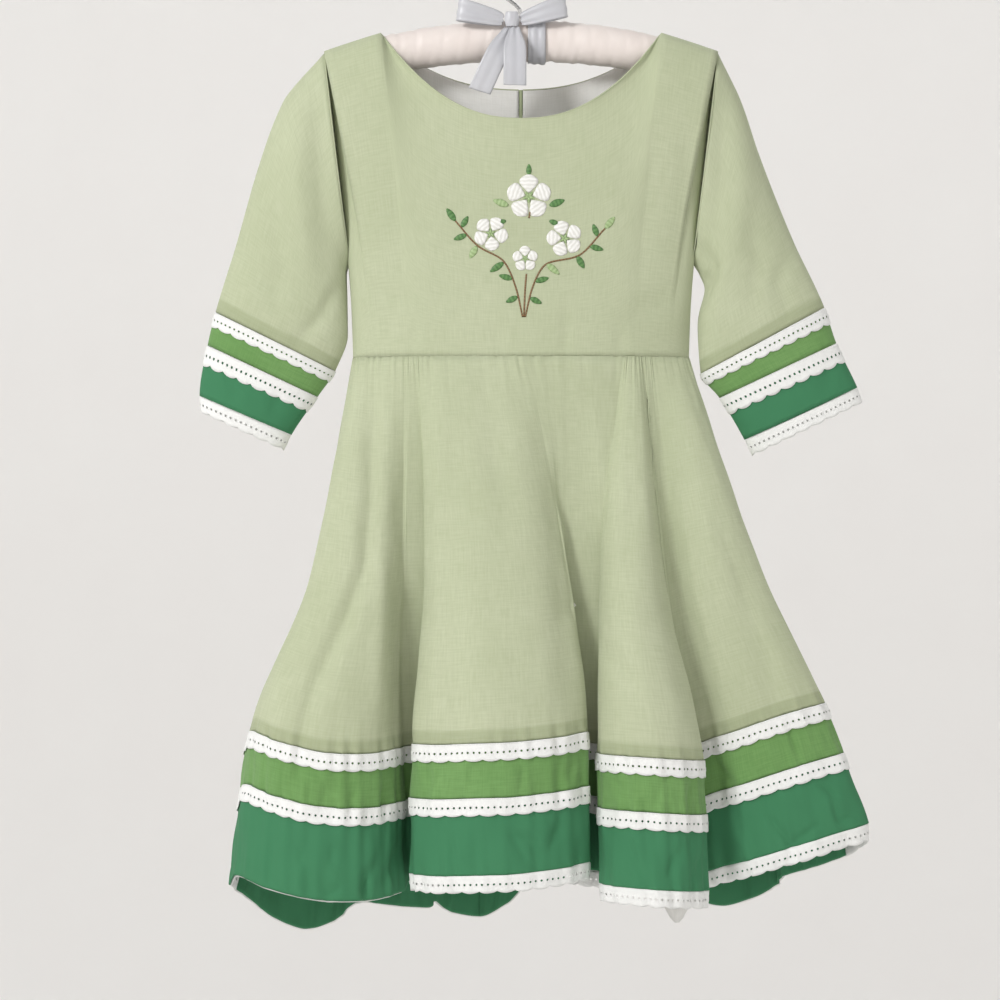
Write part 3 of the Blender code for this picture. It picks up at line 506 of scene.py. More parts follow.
def cubic(
    t: np.ndarray, start: np.ndarray, leave: np.ndarray, end: np.ndarray, arrive: np.ndarray,
    width: np.ndarray | float = 1.0,
) -> np.ndarray:
    """The cubic from start to end at shares t of a width, which leaves and arrives at given slopes."""
    return (
        (2 * t**3 - 3 * t**2 + 1) * start
        + (t**3 - 2 * t**2 + t) * width * leave
        + (3 * t**2 - 2 * t**3) * end
        + (t**3 - t**2) * width * arrive
    )


def slopes(knots: np.ndarray, values: np.ndarray) -> np.ndarray:
    """Slopes of a monotone cubic through values, along the first axis."""
    step = np.diff(knots).reshape(-1, *([1] * (values.ndim - 1)))
    secant = np.diff(values, axis=0) / step
    inner = np.zeros_like(values[1:-1])
    before, after = secant[:-1], secant[1:]
    same_way = before * after > 0
    harmonic = 2 * before * after / np.where(same_way, before + after, 1)
    inner[same_way] = harmonic[same_way]
    return np.concatenate([secant[:1], inner, secant[-1:]])


def curve_through(knots: Sequence[float], values: np.ndarray, at: np.ndarray) -> np.ndarray:
    """Reads the monotone cubic through values at knots.

    Args:
        knots: Where the values stand, rising.
        values: One value, or array of values, to each knot.
        at: The places to read.

    Returns:
        The values at those places.
    """
    knots, values, at = (np.asarray(a, float) for a in (knots, values, at))
    slope = slopes(knots, values)
    i = np.clip(np.searchsorted(knots, at, side="right") - 1, 0, len(knots) - 2)
    width = knots[i + 1] - knots[i]
    t = (at - knots[i]) / width
    shape = (-1, *([1] * (values.ndim - 1)))
    t, width = t.reshape(shape), width.reshape(shape)
    return cubic(t, values[i], slope[i], values[i + 1], slope[i + 1], width)


def ring_through(points: np.ndarray, places: np.ndarray) -> np.ndarray:
    """Reads a smooth closed curve through points.

    Args:
        points: The points that it passes, in order.
        places: Where to read it: 2.5 is half way from point 2 to point 3.

    Returns:
        The points at those places.
    """
    count = len(points)
    i = np.floor(places).astype(int)
    u = (places - i)[:, None]
    p0, p1, p2, p3 = (points[(i + step) % count] for step in (-1, 0, 1, 2))
    d1, d2, d3 = (
        np.sqrt(np.maximum(np.linalg.norm(b - a, axis=-1), 1e-6))[:, None]
        for a, b in ((p0, p1), (p1, p2), (p2, p3))
    )
    m1 = p2 - p1 + d2 * ((p1 - p0) / d1 - (p2 - p0) / (d1 + d2))
    m2 = p2 - p1 + d2 * ((p3 - p2) / d3 - (p3 - p1) / (d2 + d3))
    return cubic(u, p1, m1, p2, m2)


def unit(vectors: np.ndarray) -> np.ndarray:
    """The vectors, each one long."""
    return vectors / np.maximum(np.linalg.norm(vectors, axis=-1, keepdims=True), 1e-12)


def outward(grid: np.ndarray, closed: bool = False) -> np.ndarray:
    """Works out the way out of the dress at each point of a grid.

    Args:
        grid: Rows down the cloth and columns across it, each a point.
        closed: Whether the last column meets the first.

    Returns:
        A unit vector for each point.
    """
    if closed:
        after = unit(np.roll(grid, -1, axis=1) - grid)
        before = np.roll(after, 1, axis=1)
    else:
        between = unit(np.diff(grid, axis=1))
        after = np.concatenate([between, between[:, -1:]], axis=1)
        before = np.concatenate([between[:, :1], between], axis=1)
    return unit(np.cross(np.gradient(grid, axis=0), before + after))


class Crease(NamedTuple):
    """A crease laid over the cloth. A depth below zero is a ridge.

    Attributes:
        path: Its corners as (x, z) in millimetres.
        depth: How deep it is at its middle, in millimetres.
        width: From its middle to where it has faded to a third, in millimetres.
    """

    path: tuple[tuple[float, float], ...]
    depth: float
    width: float


def creased(grid: np.ndarray, creases: Sequence[Crease], side: float, closed: bool = False) -> np.ndarray:
    """Presses creases into a grid.

    Args:
        grid: The cloth's points.
        creases: The creases, drawn on the plane of the dress.
        side: -1 for creases on the front, 1 for creases on the back.
        closed: Whether the last column meets the first.

    Returns:
        The points, moved along the way out of the cloth.
    """
    way = outward(grid, closed)
    facing = np.clip((way[..., 1] * side - 0.05) / 0.35, 0, 1)
    flat = grid[..., [0, 2]] / MM
    press = np.zeros(grid.shape[:2])
    for crease in creases:
        path = np.array(crease.path, float)
        lengths = np.linalg.norm(np.diff(path, axis=0), axis=1)
        reach = np.concatenate([[0.0], np.cumsum(lengths)]) / lengths.sum()
        nearest = np.full(press.shape, 1e9)
        share = np.zeros(press.shape)
        for start, end, a, b in zip(path, path[1:], reach, reach[1:]):
            along = end - start
            t = np.clip(((flat - start) @ along) / (along @ along), 0, 1)
            distance = np.linalg.norm(flat - start - t[..., None] * along, axis=-1)
            closer = distance < nearest
            nearest = np.where(closer, distance, nearest)
            share = np.where(closer, a + (b - a) * t, share)
        fade = np.sin(np.pi * np.clip(share * 0.92 + 0.04, 0, 1)) ** 0.6
        press += crease.depth * np.exp(-((nearest / crease.width) ** 2)) * fade
    return grid - way * (press * facing * MM)[..., None]


@dataclass
class Shell:
    """One cloth piece as a thin shell on a grid of points.

    Attributes:
        name: The piece's name.
        grid: Rows down the cloth and columns across it, each a point.
        finish: What the cloth is.
        closed: Whether the last column meets the first.
        thickness: The wall, in metres.
        allowance: Height of the seam allowance that shows through above the lower edge, in metres.
    """

    name: str
    grid: np.ndarray
    finish: Finish
    closed: bool = False
    thickness: float = 0.0007
    allowance: float = 0.0

    def size(self) -> tuple[float, float, float]:
        """The cut's width, length and area, which are the shell's own along its threads."""
        ring = np.concatenate([self.grid, self.grid[:, :1]], axis=1) if self.closed else self.grid
        across = np.linalg.norm(np.diff(ring, axis=1), axis=-1)
        down = np.linalg.norm(np.diff(ring, axis=0), axis=-1)
        corners = ring[:-1, :-1], ring[1:, :-1], ring[1:, 1:], ring[:-1, 1:]
        cross = np.cross(corners[2] - corners[0], corners[3] - corners[1])
        area = np.linalg.norm(cross, axis=-1).sum() / 2
        return across.sum(axis=1).max(), down.sum(axis=0).max(), float(area)

    def build(self) -> bpy.types.Object:
        """Makes the mesh, with the cloth's own lengths in metres as its UV map."""
        rows, columns = self.grid.shape[:2]
        wrap = columns if self.closed else columns - 1
        faces = grid_faces(rows, columns, self.closed)
        ring = np.concatenate([self.grid, self.grid[:, :1]], axis=1)
        u = reach_along(ring[rows // 2])
        down = np.linalg.norm(np.diff(self.grid, axis=0), axis=-1).mean(axis=1)
        v = np.concatenate([[0.0], np.cumsum(down)])
        i, j = np.divmod(np.arange((rows - 1) * wrap), wrap)
        corners = np.stack(
            [np.stack([u[j + a], v[i + b]], axis=-1) for a, b in ((0, 0), (0, 1), (1, 1), (1, 0))], axis=1
        )
        mesh = new_mesh(self.name, self.grid, faces, corners)
        if self.allowance:
            step = np.linalg.norm(np.diff(self.grid, axis=0), axis=-1)
            rise = np.concatenate([np.cumsum(step[::-1], axis=0)[::-1], step[:1] * 0])
            doubled = np.clip((self.allowance - rise) / 0.0012 + 0.5, 0, 1)
            mesh.attributes.new("doubled", "FLOAT", "POINT").data.foreach_set("value", doubled.reshape(-1))
        obj = add_piece(self.name, mesh, self.finish)
        add_wall(obj, self.thickness)
        return obj

    def sheet(
        self, node: str, cut_width: float = 0.0
    ) -> bpy.types.Object:
        """Args:
            node: The solid that it stands for.
            cut_width: Width of the cut, where its rows run up and down its edges and so are longer.

        Returns:
            The piece.
        """
        obj = self.build()
        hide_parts(node)
        width, length, area = self.size()
        width = cut_width or width
        area = min(area, width * length)
        log.info("%s: %.0f x %.0f mm", self.name, width / MM, length / MM)
        return obj


@dataclass
class LaceTile:
    """Eyelet lace: a plain head, a row of worked holes and a scalloped edge, three holes to a scallop.

    Attributes:
        scallop: Width of one scallop, in metres.
        hole: Radius of a hole.
        rim: Radius of the raised stitching round it.
        hole_row: From the head to the middle of the holes.
        cell: Half the height of the strip that holds them.
        valley: From the head to the lace's edge between scallops.
        depth: How far a scallop reaches past that.
        rise: How far the stitching round a hole stands up.
        turns: Corners of a hole.
        thickness: The lace's own.
        cut: The lace's width as cut, to the tips of its scallops.
        solid_share: What the holes and scallops leave of its area.
    """

    scallop: float = 14.1 * MM
    hole: float = 1.00 * MM
    rim: float = 1.65 * MM
    hole_row: float = 7.0 * MM
    cell: float = 2.35 * MM
    valley: float = 12.2 * MM
    depth: float = 1.6 * MM
    rise: float = 0.25 * MM
    turns: int = 8
    thickness: float = 0.45 * MM
    cut: float = 14.5 * MM
    solid_share: float = 0.82

    def edge(self, share: float) -> float:
        """How far the scalloped edge reaches, at a share of the way across a scallop."""
        return self.valley + self.depth * abs(math.sin(math.pi * share)) ** 0.7

    def flat(self, scallops: int) -> tuple[np.ndarray, list[tuple[int, ...]]]:
        """Lays out the lace flat.

        Args:
            scallops: How many scallops long it is.

        Returns:
            Points as (along, down, raised), and the faces.
        """
        points: list[tuple[float, float, float]] = []
        faces: list[tuple[int, ...]] = []
        index: dict[tuple[int, int], int] = {}
        step = self.scallop / 6

        def at(column: int, row: int) -> int:
            """The number of the grid point at a half-cell column and a row, made once."""
            if (column, row) not in index:
                x = column * step
                top, low = self.hole_row - self.cell, self.hole_row + self.cell
                bottom = self.edge((column % 6) / 6)
                down = (0.0, top / 2, top, self.hole_row, low, (low + bottom) / 2, bottom)[row]
                index[column, row] = len(points)
                points.append((x, down, 0.0))
            return index[column, row]

        between = (self.rim + self.hole) / 2
        for c in range(0, scallops * 6, 2):
            for row in (0, 1, 4, 5):
                for column in (c, c + 1):
                    corners = ((column, row), (column, row + 1), (column + 1, row + 1), (column + 1, row))
                    faces.append(tuple(at(*corner) for corner in corners))
            block = [at(*p) for p in (
                (c, 2), (c, 3), (c, 4), (c + 1, 4), (c + 2, 4), (c + 2, 3), (c + 2, 2), (c + 1, 2)
            )]
            rings = []
            for radius, raised in ((self.rim, 0.0), (between, self.rise), (self.hole, 0.0)):
                first = len(points)
                for i in range(self.turns):
                    angle = math.radians(225 - 360 / self.turns * i)
                    points.append((
                        (c + 1) * step + radius * math.cos(angle),
                        self.hole_row + radius * math.sin(angle),
                        raised,
                    ))
                rings.append([first + i for i in range(self.turns)])
            order = block
            for ring in rings:
                for i in range(self.turns):
                    j = (i + 1) % self.turns
                    faces.append((order[i], order[j], ring[j], ring[i]))
                order = ring
        return np.array(points), faces

    def lay(self, name: str, node: str, grid: np.ndarray, closed: bool) -> None:
        """Args:
            name: The piece's name.
            node: The solid that it stands for.
            grid: Points down the lace, 1 mm apart, and along it.
            closed: Whether the lace is a ring.
        """
        ring = np.concatenate([grid, grid[:, :1]], axis=1) if closed else grid
        way = outward(grid, closed)
        way = np.concatenate([way, way[:, :1]], axis=1) if closed else way
        along = reach_along(ring[len(ring) // 2])
        scallops = max(1, round(along[-1] / self.scallop))
        points, faces = self.flat(scallops)
        stretch = along[-1] / (scallops * self.scallop)
        column = np.interp(points[:, 0] * stretch, along, np.arange(len(along)))
        row = np.clip(points[:, 1] / MM, 0, len(grid) - 1)
        placed = bilinear(ring, row, column) + bilinear(way, row, column) * points[:, 2:]
        corners = [points[i, :2] for face in faces for i in face]
        obj = add_piece(name, new_mesh(name, placed, faces, corners), Finish.LACE)
        if closed:
            weld = obj.modifiers.new("join", "WELD")
            weld.merge_threshold = 0.02 * MM
        add_wall(obj, self.thickness)
        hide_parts(node)
        width, _, area = Shell(name, grid, Finish.LACE, closed).size()
        area = min(area * self.solid_share, width * self.cut)
        log.info("%s: %d scallops", name, scallops)


@dataclass
class Stitching:
    """Rows of machine stitches in one thread, each a short swollen length of it.

    Attributes:
        finish: The thread.
        length: Length of a stitch, in metres.
        pitch: From one stitch to the next.
        radius: Half the thread's thickness.
    """

    finish: Finish
    length: float = 2.0 * MM
    pitch: float = 2.7 * MM
    radius: float = 0.17 * MM
    points: list[np.ndarray] = field(default_factory=list)

    def sew(self, line: np.ndarray, way: np.ndarray) -> None:
        """Adds a row of stitches along a line.

        Args:
            line: Points of the line.
            way: The way out of the cloth at each of them.
        """
        reach = reach_along(line)
        at = np.arange(self.pitch / 2, reach[-1] - self.length, self.pitch)

        def read(values: np.ndarray, where: np.ndarray) -> np.ndarray:
            """The vectors at lengths along the line."""
            return np.stack([np.interp(where, reach, values[:, axis]) for axis in range(3)], axis=-1)

        start, end, up = read(line, at), read(line, at + self.length), unit(read(way, at))
        side = unit(np.cross(end - start, up))
        rings = []
        for share, swell in ((0.0, 0.3), (0.3, 1.0), (0.7, 1.0), (1.0, 0.3)):
            middle = start + (end - start) * share
            for across, out in ((1, 0), (0, 1), (-1, 0), (0, -1)):
                rings.append(middle + (side * across + up * out) * self.radius * swell)
        self.points.append(np.stack(rings, axis=1).reshape(-1, 3))

    def build(self, name: str) -> None:
        """Makes one object of all the rows."""
        points = np.concatenate(self.points)
        block = grid_faces(4, 4, True) + [(0, 1, 2, 3), (15, 14, 13, 12)]
        faces = (np.arange(len(points) // 16)[:, None, None] * 16 + np.array(block)).reshape(-1, 4)
        round_it = np.tile([0.0, 0.3, 0.6, 0.9], len(points) // 4)
        along_it = np.tile(np.repeat([0, 0.6, 1.4, 2], 4), len(points) // 16)
        places = np.stack([round_it, along_it], axis=-1) * MM
        add_piece(name, new_mesh(name, points, faces.tolist(), places[faces.reshape(-1)]), self.finish)
        log.info("%s: %d stitches", name, len(points) // 16)


def bilinear(grid: np.ndarray, row: np.ndarray, column: np.ndarray) -> np.ndarray:
    """Reads a grid between its points.

    Args:
        grid: Rows and columns of vectors.
        row: Rows to read, with fractions.
        column: Columns to read, with fractions.

    Returns:
        One vector to each pair.
    """
    i = np.clip(row.astype(int), 0, grid.shape[0] - 2)
    j = np.clip(column.astype(int), 0, grid.shape[1] - 2)
    a, b = (row - i)[:, None], (column - j)[:, None]
    return (
        grid[i, j] * (1 - a) * (1 - b) + grid[i + 1, j] * a * (1 - b)
        + grid[i, j + 1] * (1 - a) * b + grid[i + 1, j + 1] * a * b
    )


class Fold(NamedTuple):
    """One fold of the skirt and the hollow after it, as in the part's own table."""

    name: str
    waist_start: float
    waist_end: float
    mid_start: float
    mid_end: float
    band_start: float
    band_end: float
    hem_start: float
    hem_end: float
    mid_crown: float
    band_crown: float
    hem_crown: float
    hollow_in_x: float
    hollow_in_y: float
    hollow_out_x: float
    hollow_out_y: float
    length_start: float
    length: float
    length_end: float


FOLDS = (
    Fold("left", -.133, -.092, -.163, -.094, -.209, -.098, -.222, -.096, -.058, -.078, -.080,
         -.087, -.029, -.071, -.027, .424, .4325, .424),
    Fold("middle", -.079, .005, -.076, .037, -.085, .052, -.087, .054, -.068, -.088, -.094,
         .044, -.026, .070, -.026, .420, .421, .414),
    Fold("right", .080, .096, .062, .113, .060, .141, .061, .146, -.062, -.084, -.092,
         .128, -.038, .138, -.026, .428, .433, .437),
    Fold("wing", .103, .133, .124, .187, .150, .241, .162, .278, -.046, -.046, -.048,
         .262, -.004, .211, .006, .421, .413, .411),
    Fold("back_right", .128, .096, .150, .106, .190, .122, .208, .128, .040, .045, .048,
         .132, .018, .112, .016, .436, .452, .432),
    Fold("back_mid", .084, .046, .090, .034, .100, .034, .104, .032, .038, .042, .044,
         .035, .017, .010, .017, .416, .414, .418),
    Fold("back_centre", .026, -.026, .018, -.052, .006, -.068, .002, -.070, .038, .044, .048,
         -.074, .018, -.124, .016, .430, .457, .443),
    Fold("back_left", -.052, -.128, -.088, -.157, -.124, -.202, -.134, -.219, .038, .042, .046,
         -.230, .008, -.231, -.018, .450, .474, .450),
)

# how far the hem lace is turned up: on the front by places round the hem and degrees, and on the back
# the same all round, below zero for outward
HEM_TURN = ((-2, 174), (3.0, 174), (4.2, 150), (5.6, 30), (7.0, 6), (19.0, 6), (22.0, 10), (26.0, 14))
HEM_TURN_BACK = -176.0


class Seam(Enum):
    """The skirt's seams, as places round its hem."""

    LEFT = 54
    RIGHT = 26
    BACK = 44


@dataclass
class SkirtForm:
    """The skirt's surface: a point for any place round the hem and any length down the cloth.

    Places round the hem are counted from the first fold's start, seven to a fold: five across the fold
    and two in the hollow after it.

    Attributes:
        edge_share: How far a fold's edges stand out, as a share of its crown.
        shoulder_share: The same for its shoulders.
        shoulder_at: Where the shoulders are, as a share of the fold's width from either edge.
        hollow_at: Where a hollow's two points are, as shares of the way to the next fold.
        levels: The waist, the middle, the bands' top and the hem, as shares of the cloth's length.
        hollow_share: How much of a hollow is reached at each level below the waist.
        seams: The trims' seams, in millimetres up from the cloth's lowest edge.
        steps: Steps down the cloth.
        front_creases: Creases laid over the front.
        back_creases: Creases laid over the back.
    """

    edge_share: float = 0.60
    shoulder_share: float = 0.90
    shoulder_at: float = 0.20
    hollow_at: tuple[float, float] = (0.35, 0.65)
    levels: tuple[float, ...] = (0.0, 0.42, 0.73, 1.0)
    hollow_share: tuple[float, ...] = (0.35, 0.80, 1.0)
    seams: tuple[float, ...] = (115, 73, 12)
    steps: int = 40
    front_creases: tuple[Crease, ...] = ()
    back_creases: tuple[Crease, ...] = ()

    def __post_init__(self) -> None:
        """Works out the control points once."""
        angles, plans, lengths = self.controls()
        self.count = len(angles)
        self.knots = np.arange(-self.count, 2 * self.count)
        turns = np.repeat([-1, 0, 1], self.count) * 2 * math.pi
        self.angles = np.tile(angles, 3) + turns
        self.plans = plans
        self.lengths = np.tile(lengths, 3)
        # from a little before the first fold, where the front's left seam is
        self.arc_places = np.linspace(-4, self.count, 40 * (self.count + 4) + 1)
        self.arc = reach_along(self.columns(self.arc_places)[0][-1])

    def cockled(self, grid: np.ndarray, places: np.ndarray, up: np.ndarray, down: np.ndarray) -> np.ndarray:
        """Raises the small uneven puckers that the seams draw into the cloth.

        Args:
            grid: The cloth's points.
            places: Places round the hem, one to each column.
            up: How far each point is above the cloth's lowest edge.
            down: How far it is below the waist.

        Returns:
            The points, moved along the way out of the cloth.
        """
        # all in millimetres: s runs along the hem, and the divisors are waves' lengths over 2 pi
        s = np.interp(places, self.arc_places, self.arc)[None, :] / MM
        up, down = up / MM, down / MM
        pull = sum(0.30 * np.exp(-(((up - seam) / 10) ** 2)) for seam in self.seams)
        banded = 1 / (1 + np.exp((up - self.seams[0] - 2) / 6))
        pull = pull + 0.26 * banded + 0.20 * np.exp(-((down / 16) ** 2)) + 0.03
        fine = np.sin(s / 2.7 + 1.7 * np.sin(s / 31) + 0.6 * np.sin(up / 17))
        finer = np.sin(s / 1.65 + 2.1 * np.sin(s / 23 + 1) + up / 40)
        slanted = np.sin(s / 5.3 + up / 11 + 1.3 * np.sin(s / 47))
        slanted += np.sin(s / 7.9 - up / 9 + 0.8 * np.sin(s / 29))
        patch = 0.35 + 0.65 * (0.5 + 0.5 * np.sin(s / 37 + 1.2 * np.sin(s / 90 + 0.4) + up / 55))
        broad = np.sin(s / 13 + up / 60 + 1.9 * np.sin(s / 71)) * (0.5 + 0.5 * np.sin(s / 83 + up / 90 + 2))
        wave = 1.9 * pull * (fine + 0.55 * finer) * patch
        wave = wave + (0.16 + 0.42 * banded) * slanted * (1 - 0.5 * patch)
        return grid + outward(grid) * ((wave + 0.6 * broad) * MM)[..., None]

    def waist_angle(self, x: float, front: bool) -> float:
        """The angle round the waist oval of a point at x."""
        across = math.asin(max(-1.0, min(1.0, x / WAIST_HALF_WIDTH)))
        return across if front else math.pi - across

    def waist_point(self, angle: np.ndarray) -> np.ndarray:
        """The point of the waist oval at each angle."""
        depth = np.where(np.cos(angle) > 0, WAIST_FRONT, WAIST_BACK)
        return np.stack([WAIST_HALF_WIDTH * np.sin(angle), -depth * np.cos(angle)], axis=-1)

    def controls(self) -> tuple[np.ndarray, np.ndarray, np.ndarray]:
        """Turns the table of folds into control points.

        Returns:
            The waist angle, the (x, y) at each lower level and the cloth length, at 7 points a fold.
        """
        angles, plans, lengths = [], [], []
        at = self.shoulder_at
        for i, fold in enumerate(FOLDS):
            after = FOLDS[(i + 1) % len(FOLDS)]
            front = fold.hem_crown < 0
            turn = 2 * math.pi if i == len(FOLDS) - 1 else 0.0
            first = self.waist_angle(fold.waist_start, front)
            last = self.waist_angle(fold.waist_end, front)
            following = self.waist_angle(after.waist_start, after.hem_crown < 0) + turn
            shares = (0.0, at, 0.5, 1 - at, 1.0)
            angles += [first + (last - first) * share for share in shares]
            angles += [last + (following - last) * share for share in self.hollow_at]
            lengths += [
                fold.length_start * (1 - t) * (1 - 2 * t)
                + fold.length * 4 * t * (1 - t)
                + fold.length_end * t * (2 * t - 1)
                for t in shares
            ]
            step = after.length_start - fold.length_end
            lengths += [fold.length_end + step * share for share in self.hollow_at]
            rows = (
                (fold.mid_start, fold.mid_end, fold.mid_crown, after.mid_start, self.hollow_share[0]),
                (fold.band_start, fold.band_end, fold.band_crown, after.band_start, self.hollow_share[1]),
                (fold.hem_start, fold.hem_end, fold.hem_crown, after.hem_start, self.hollow_share[2]),
            )
            levels = []
            for start, end, crown, next_start, share in rows:
                points = [
                    (start, crown * self.edge_share),
                    (start + (end - start) * at, crown * self.shoulder_share),
                    ((start + end) / 2, crown),
                    (end - (end - start) * at, crown * self.shoulder_share),
                    (end, crown * self.edge_share),
                ]
                waist_y = -WAIST_FRONT if front else WAIST_BACK
                into = end + (fold.hollow_in_x - fold.hem_end) * share
                out_of = next_start + (fold.hollow_out_x - after.hem_start) * share
                level = 0.35 + 0.65 * share
                points.append((into, waist_y * (1 - level) + fold.hollow_in_y * level))
                points.append((out_of, waist_y * (1 - level) + fold.hollow_out_y * level))
                levels.append(points)
            plans += list(np.array(levels).transpose(1, 0, 2))
        return np.array(angles), np.array(plans), np.array(lengths)

    def columns(self, places: np.ndarray) -> tuple[np.ndarray, np.ndarray]:
        """Points at even steps down the cloth at each place, and the cloth's length there."""
        waist = self.waist_point(curve_through(self.knots, self.angles, places))
        length = curve_through(self.knots, self.lengths, places)
        lower = [ring_through(self.plans[:, level], places) for level in range(len(self.levels) - 1)]
        control = np.stack([waist, *lower])
        xy = curve_through(self.levels, control, np.linspace(0, 1, self.steps + 1))
        across = np.linalg.norm(np.diff(xy, axis=0), axis=-1)
        fall = np.sqrt(np.maximum((length / self.steps) ** 2 - across**2, 1e-9))
        z = WAIST_Z - np.concatenate([np.zeros((1, len(places))), np.cumsum(fall, axis=0)])
        return np.concatenate([xy, z[..., None]], axis=-1), length

    def surface(self, places: np.ndarray, downs: Callable[[np.ndarray], np.ndarray]) -> np.ndarray:
        """The cloth, creases and all.

        Args:
            places: Places round the hem.
            downs: Gives the rows' lengths down the cloth from the cloth's whole length at each place.

        Returns:
            Rows and columns of points.
        """
        points, length = self.columns(places)
        rows, reach = [], downs(length)
        column = np.arange(len(length))
        for down in reach:
            step = np.clip(down / length, 0, 1) * self.steps
            i = np.clip(step.astype(int), 0, self.steps - 1)
            rest = (step - i)[:, None]
            rows.append(points[i, column] * (1 - rest) + points[i + 1, column] * rest)
        grid = creased(np.array(rows), self.front_creases, -1)
        grid = creased(grid, self.back_creases, 1)
        return self.cockled(grid, places, length - np.array(reach), np.array(reach))

    def places(self, first: float, last: float, spacing: float, turn: float) -> np.ndarray:
        """Places from one seam to the next, even along the hem and closer where it turns.

        Args:
            first: The place of the first seam.
            last: The place of the last.
            spacing: The widest step along the hem, in metres.
            turn: The most that the hem turns in a step, in radians.

        Returns:
            The places.
        """
        fine = np.linspace(first, last, round((last - first) * 40) + 1)
        hem = self.columns(fine)[0][-1, :, :2]
        way = np.diff(hem, axis=0)
        bend = np.abs(np.gradient(np.unwrap(np.arctan2(way[:, 1], way[:, 0]))))
        cost = np.concatenate([[0.0], np.cumsum(np.linalg.norm(way, axis=-1) / spacing + bend / turn)])
        return np.interp(np.linspace(0, cost[-1], math.ceil(cost[-1]) + 1), cost, fine)


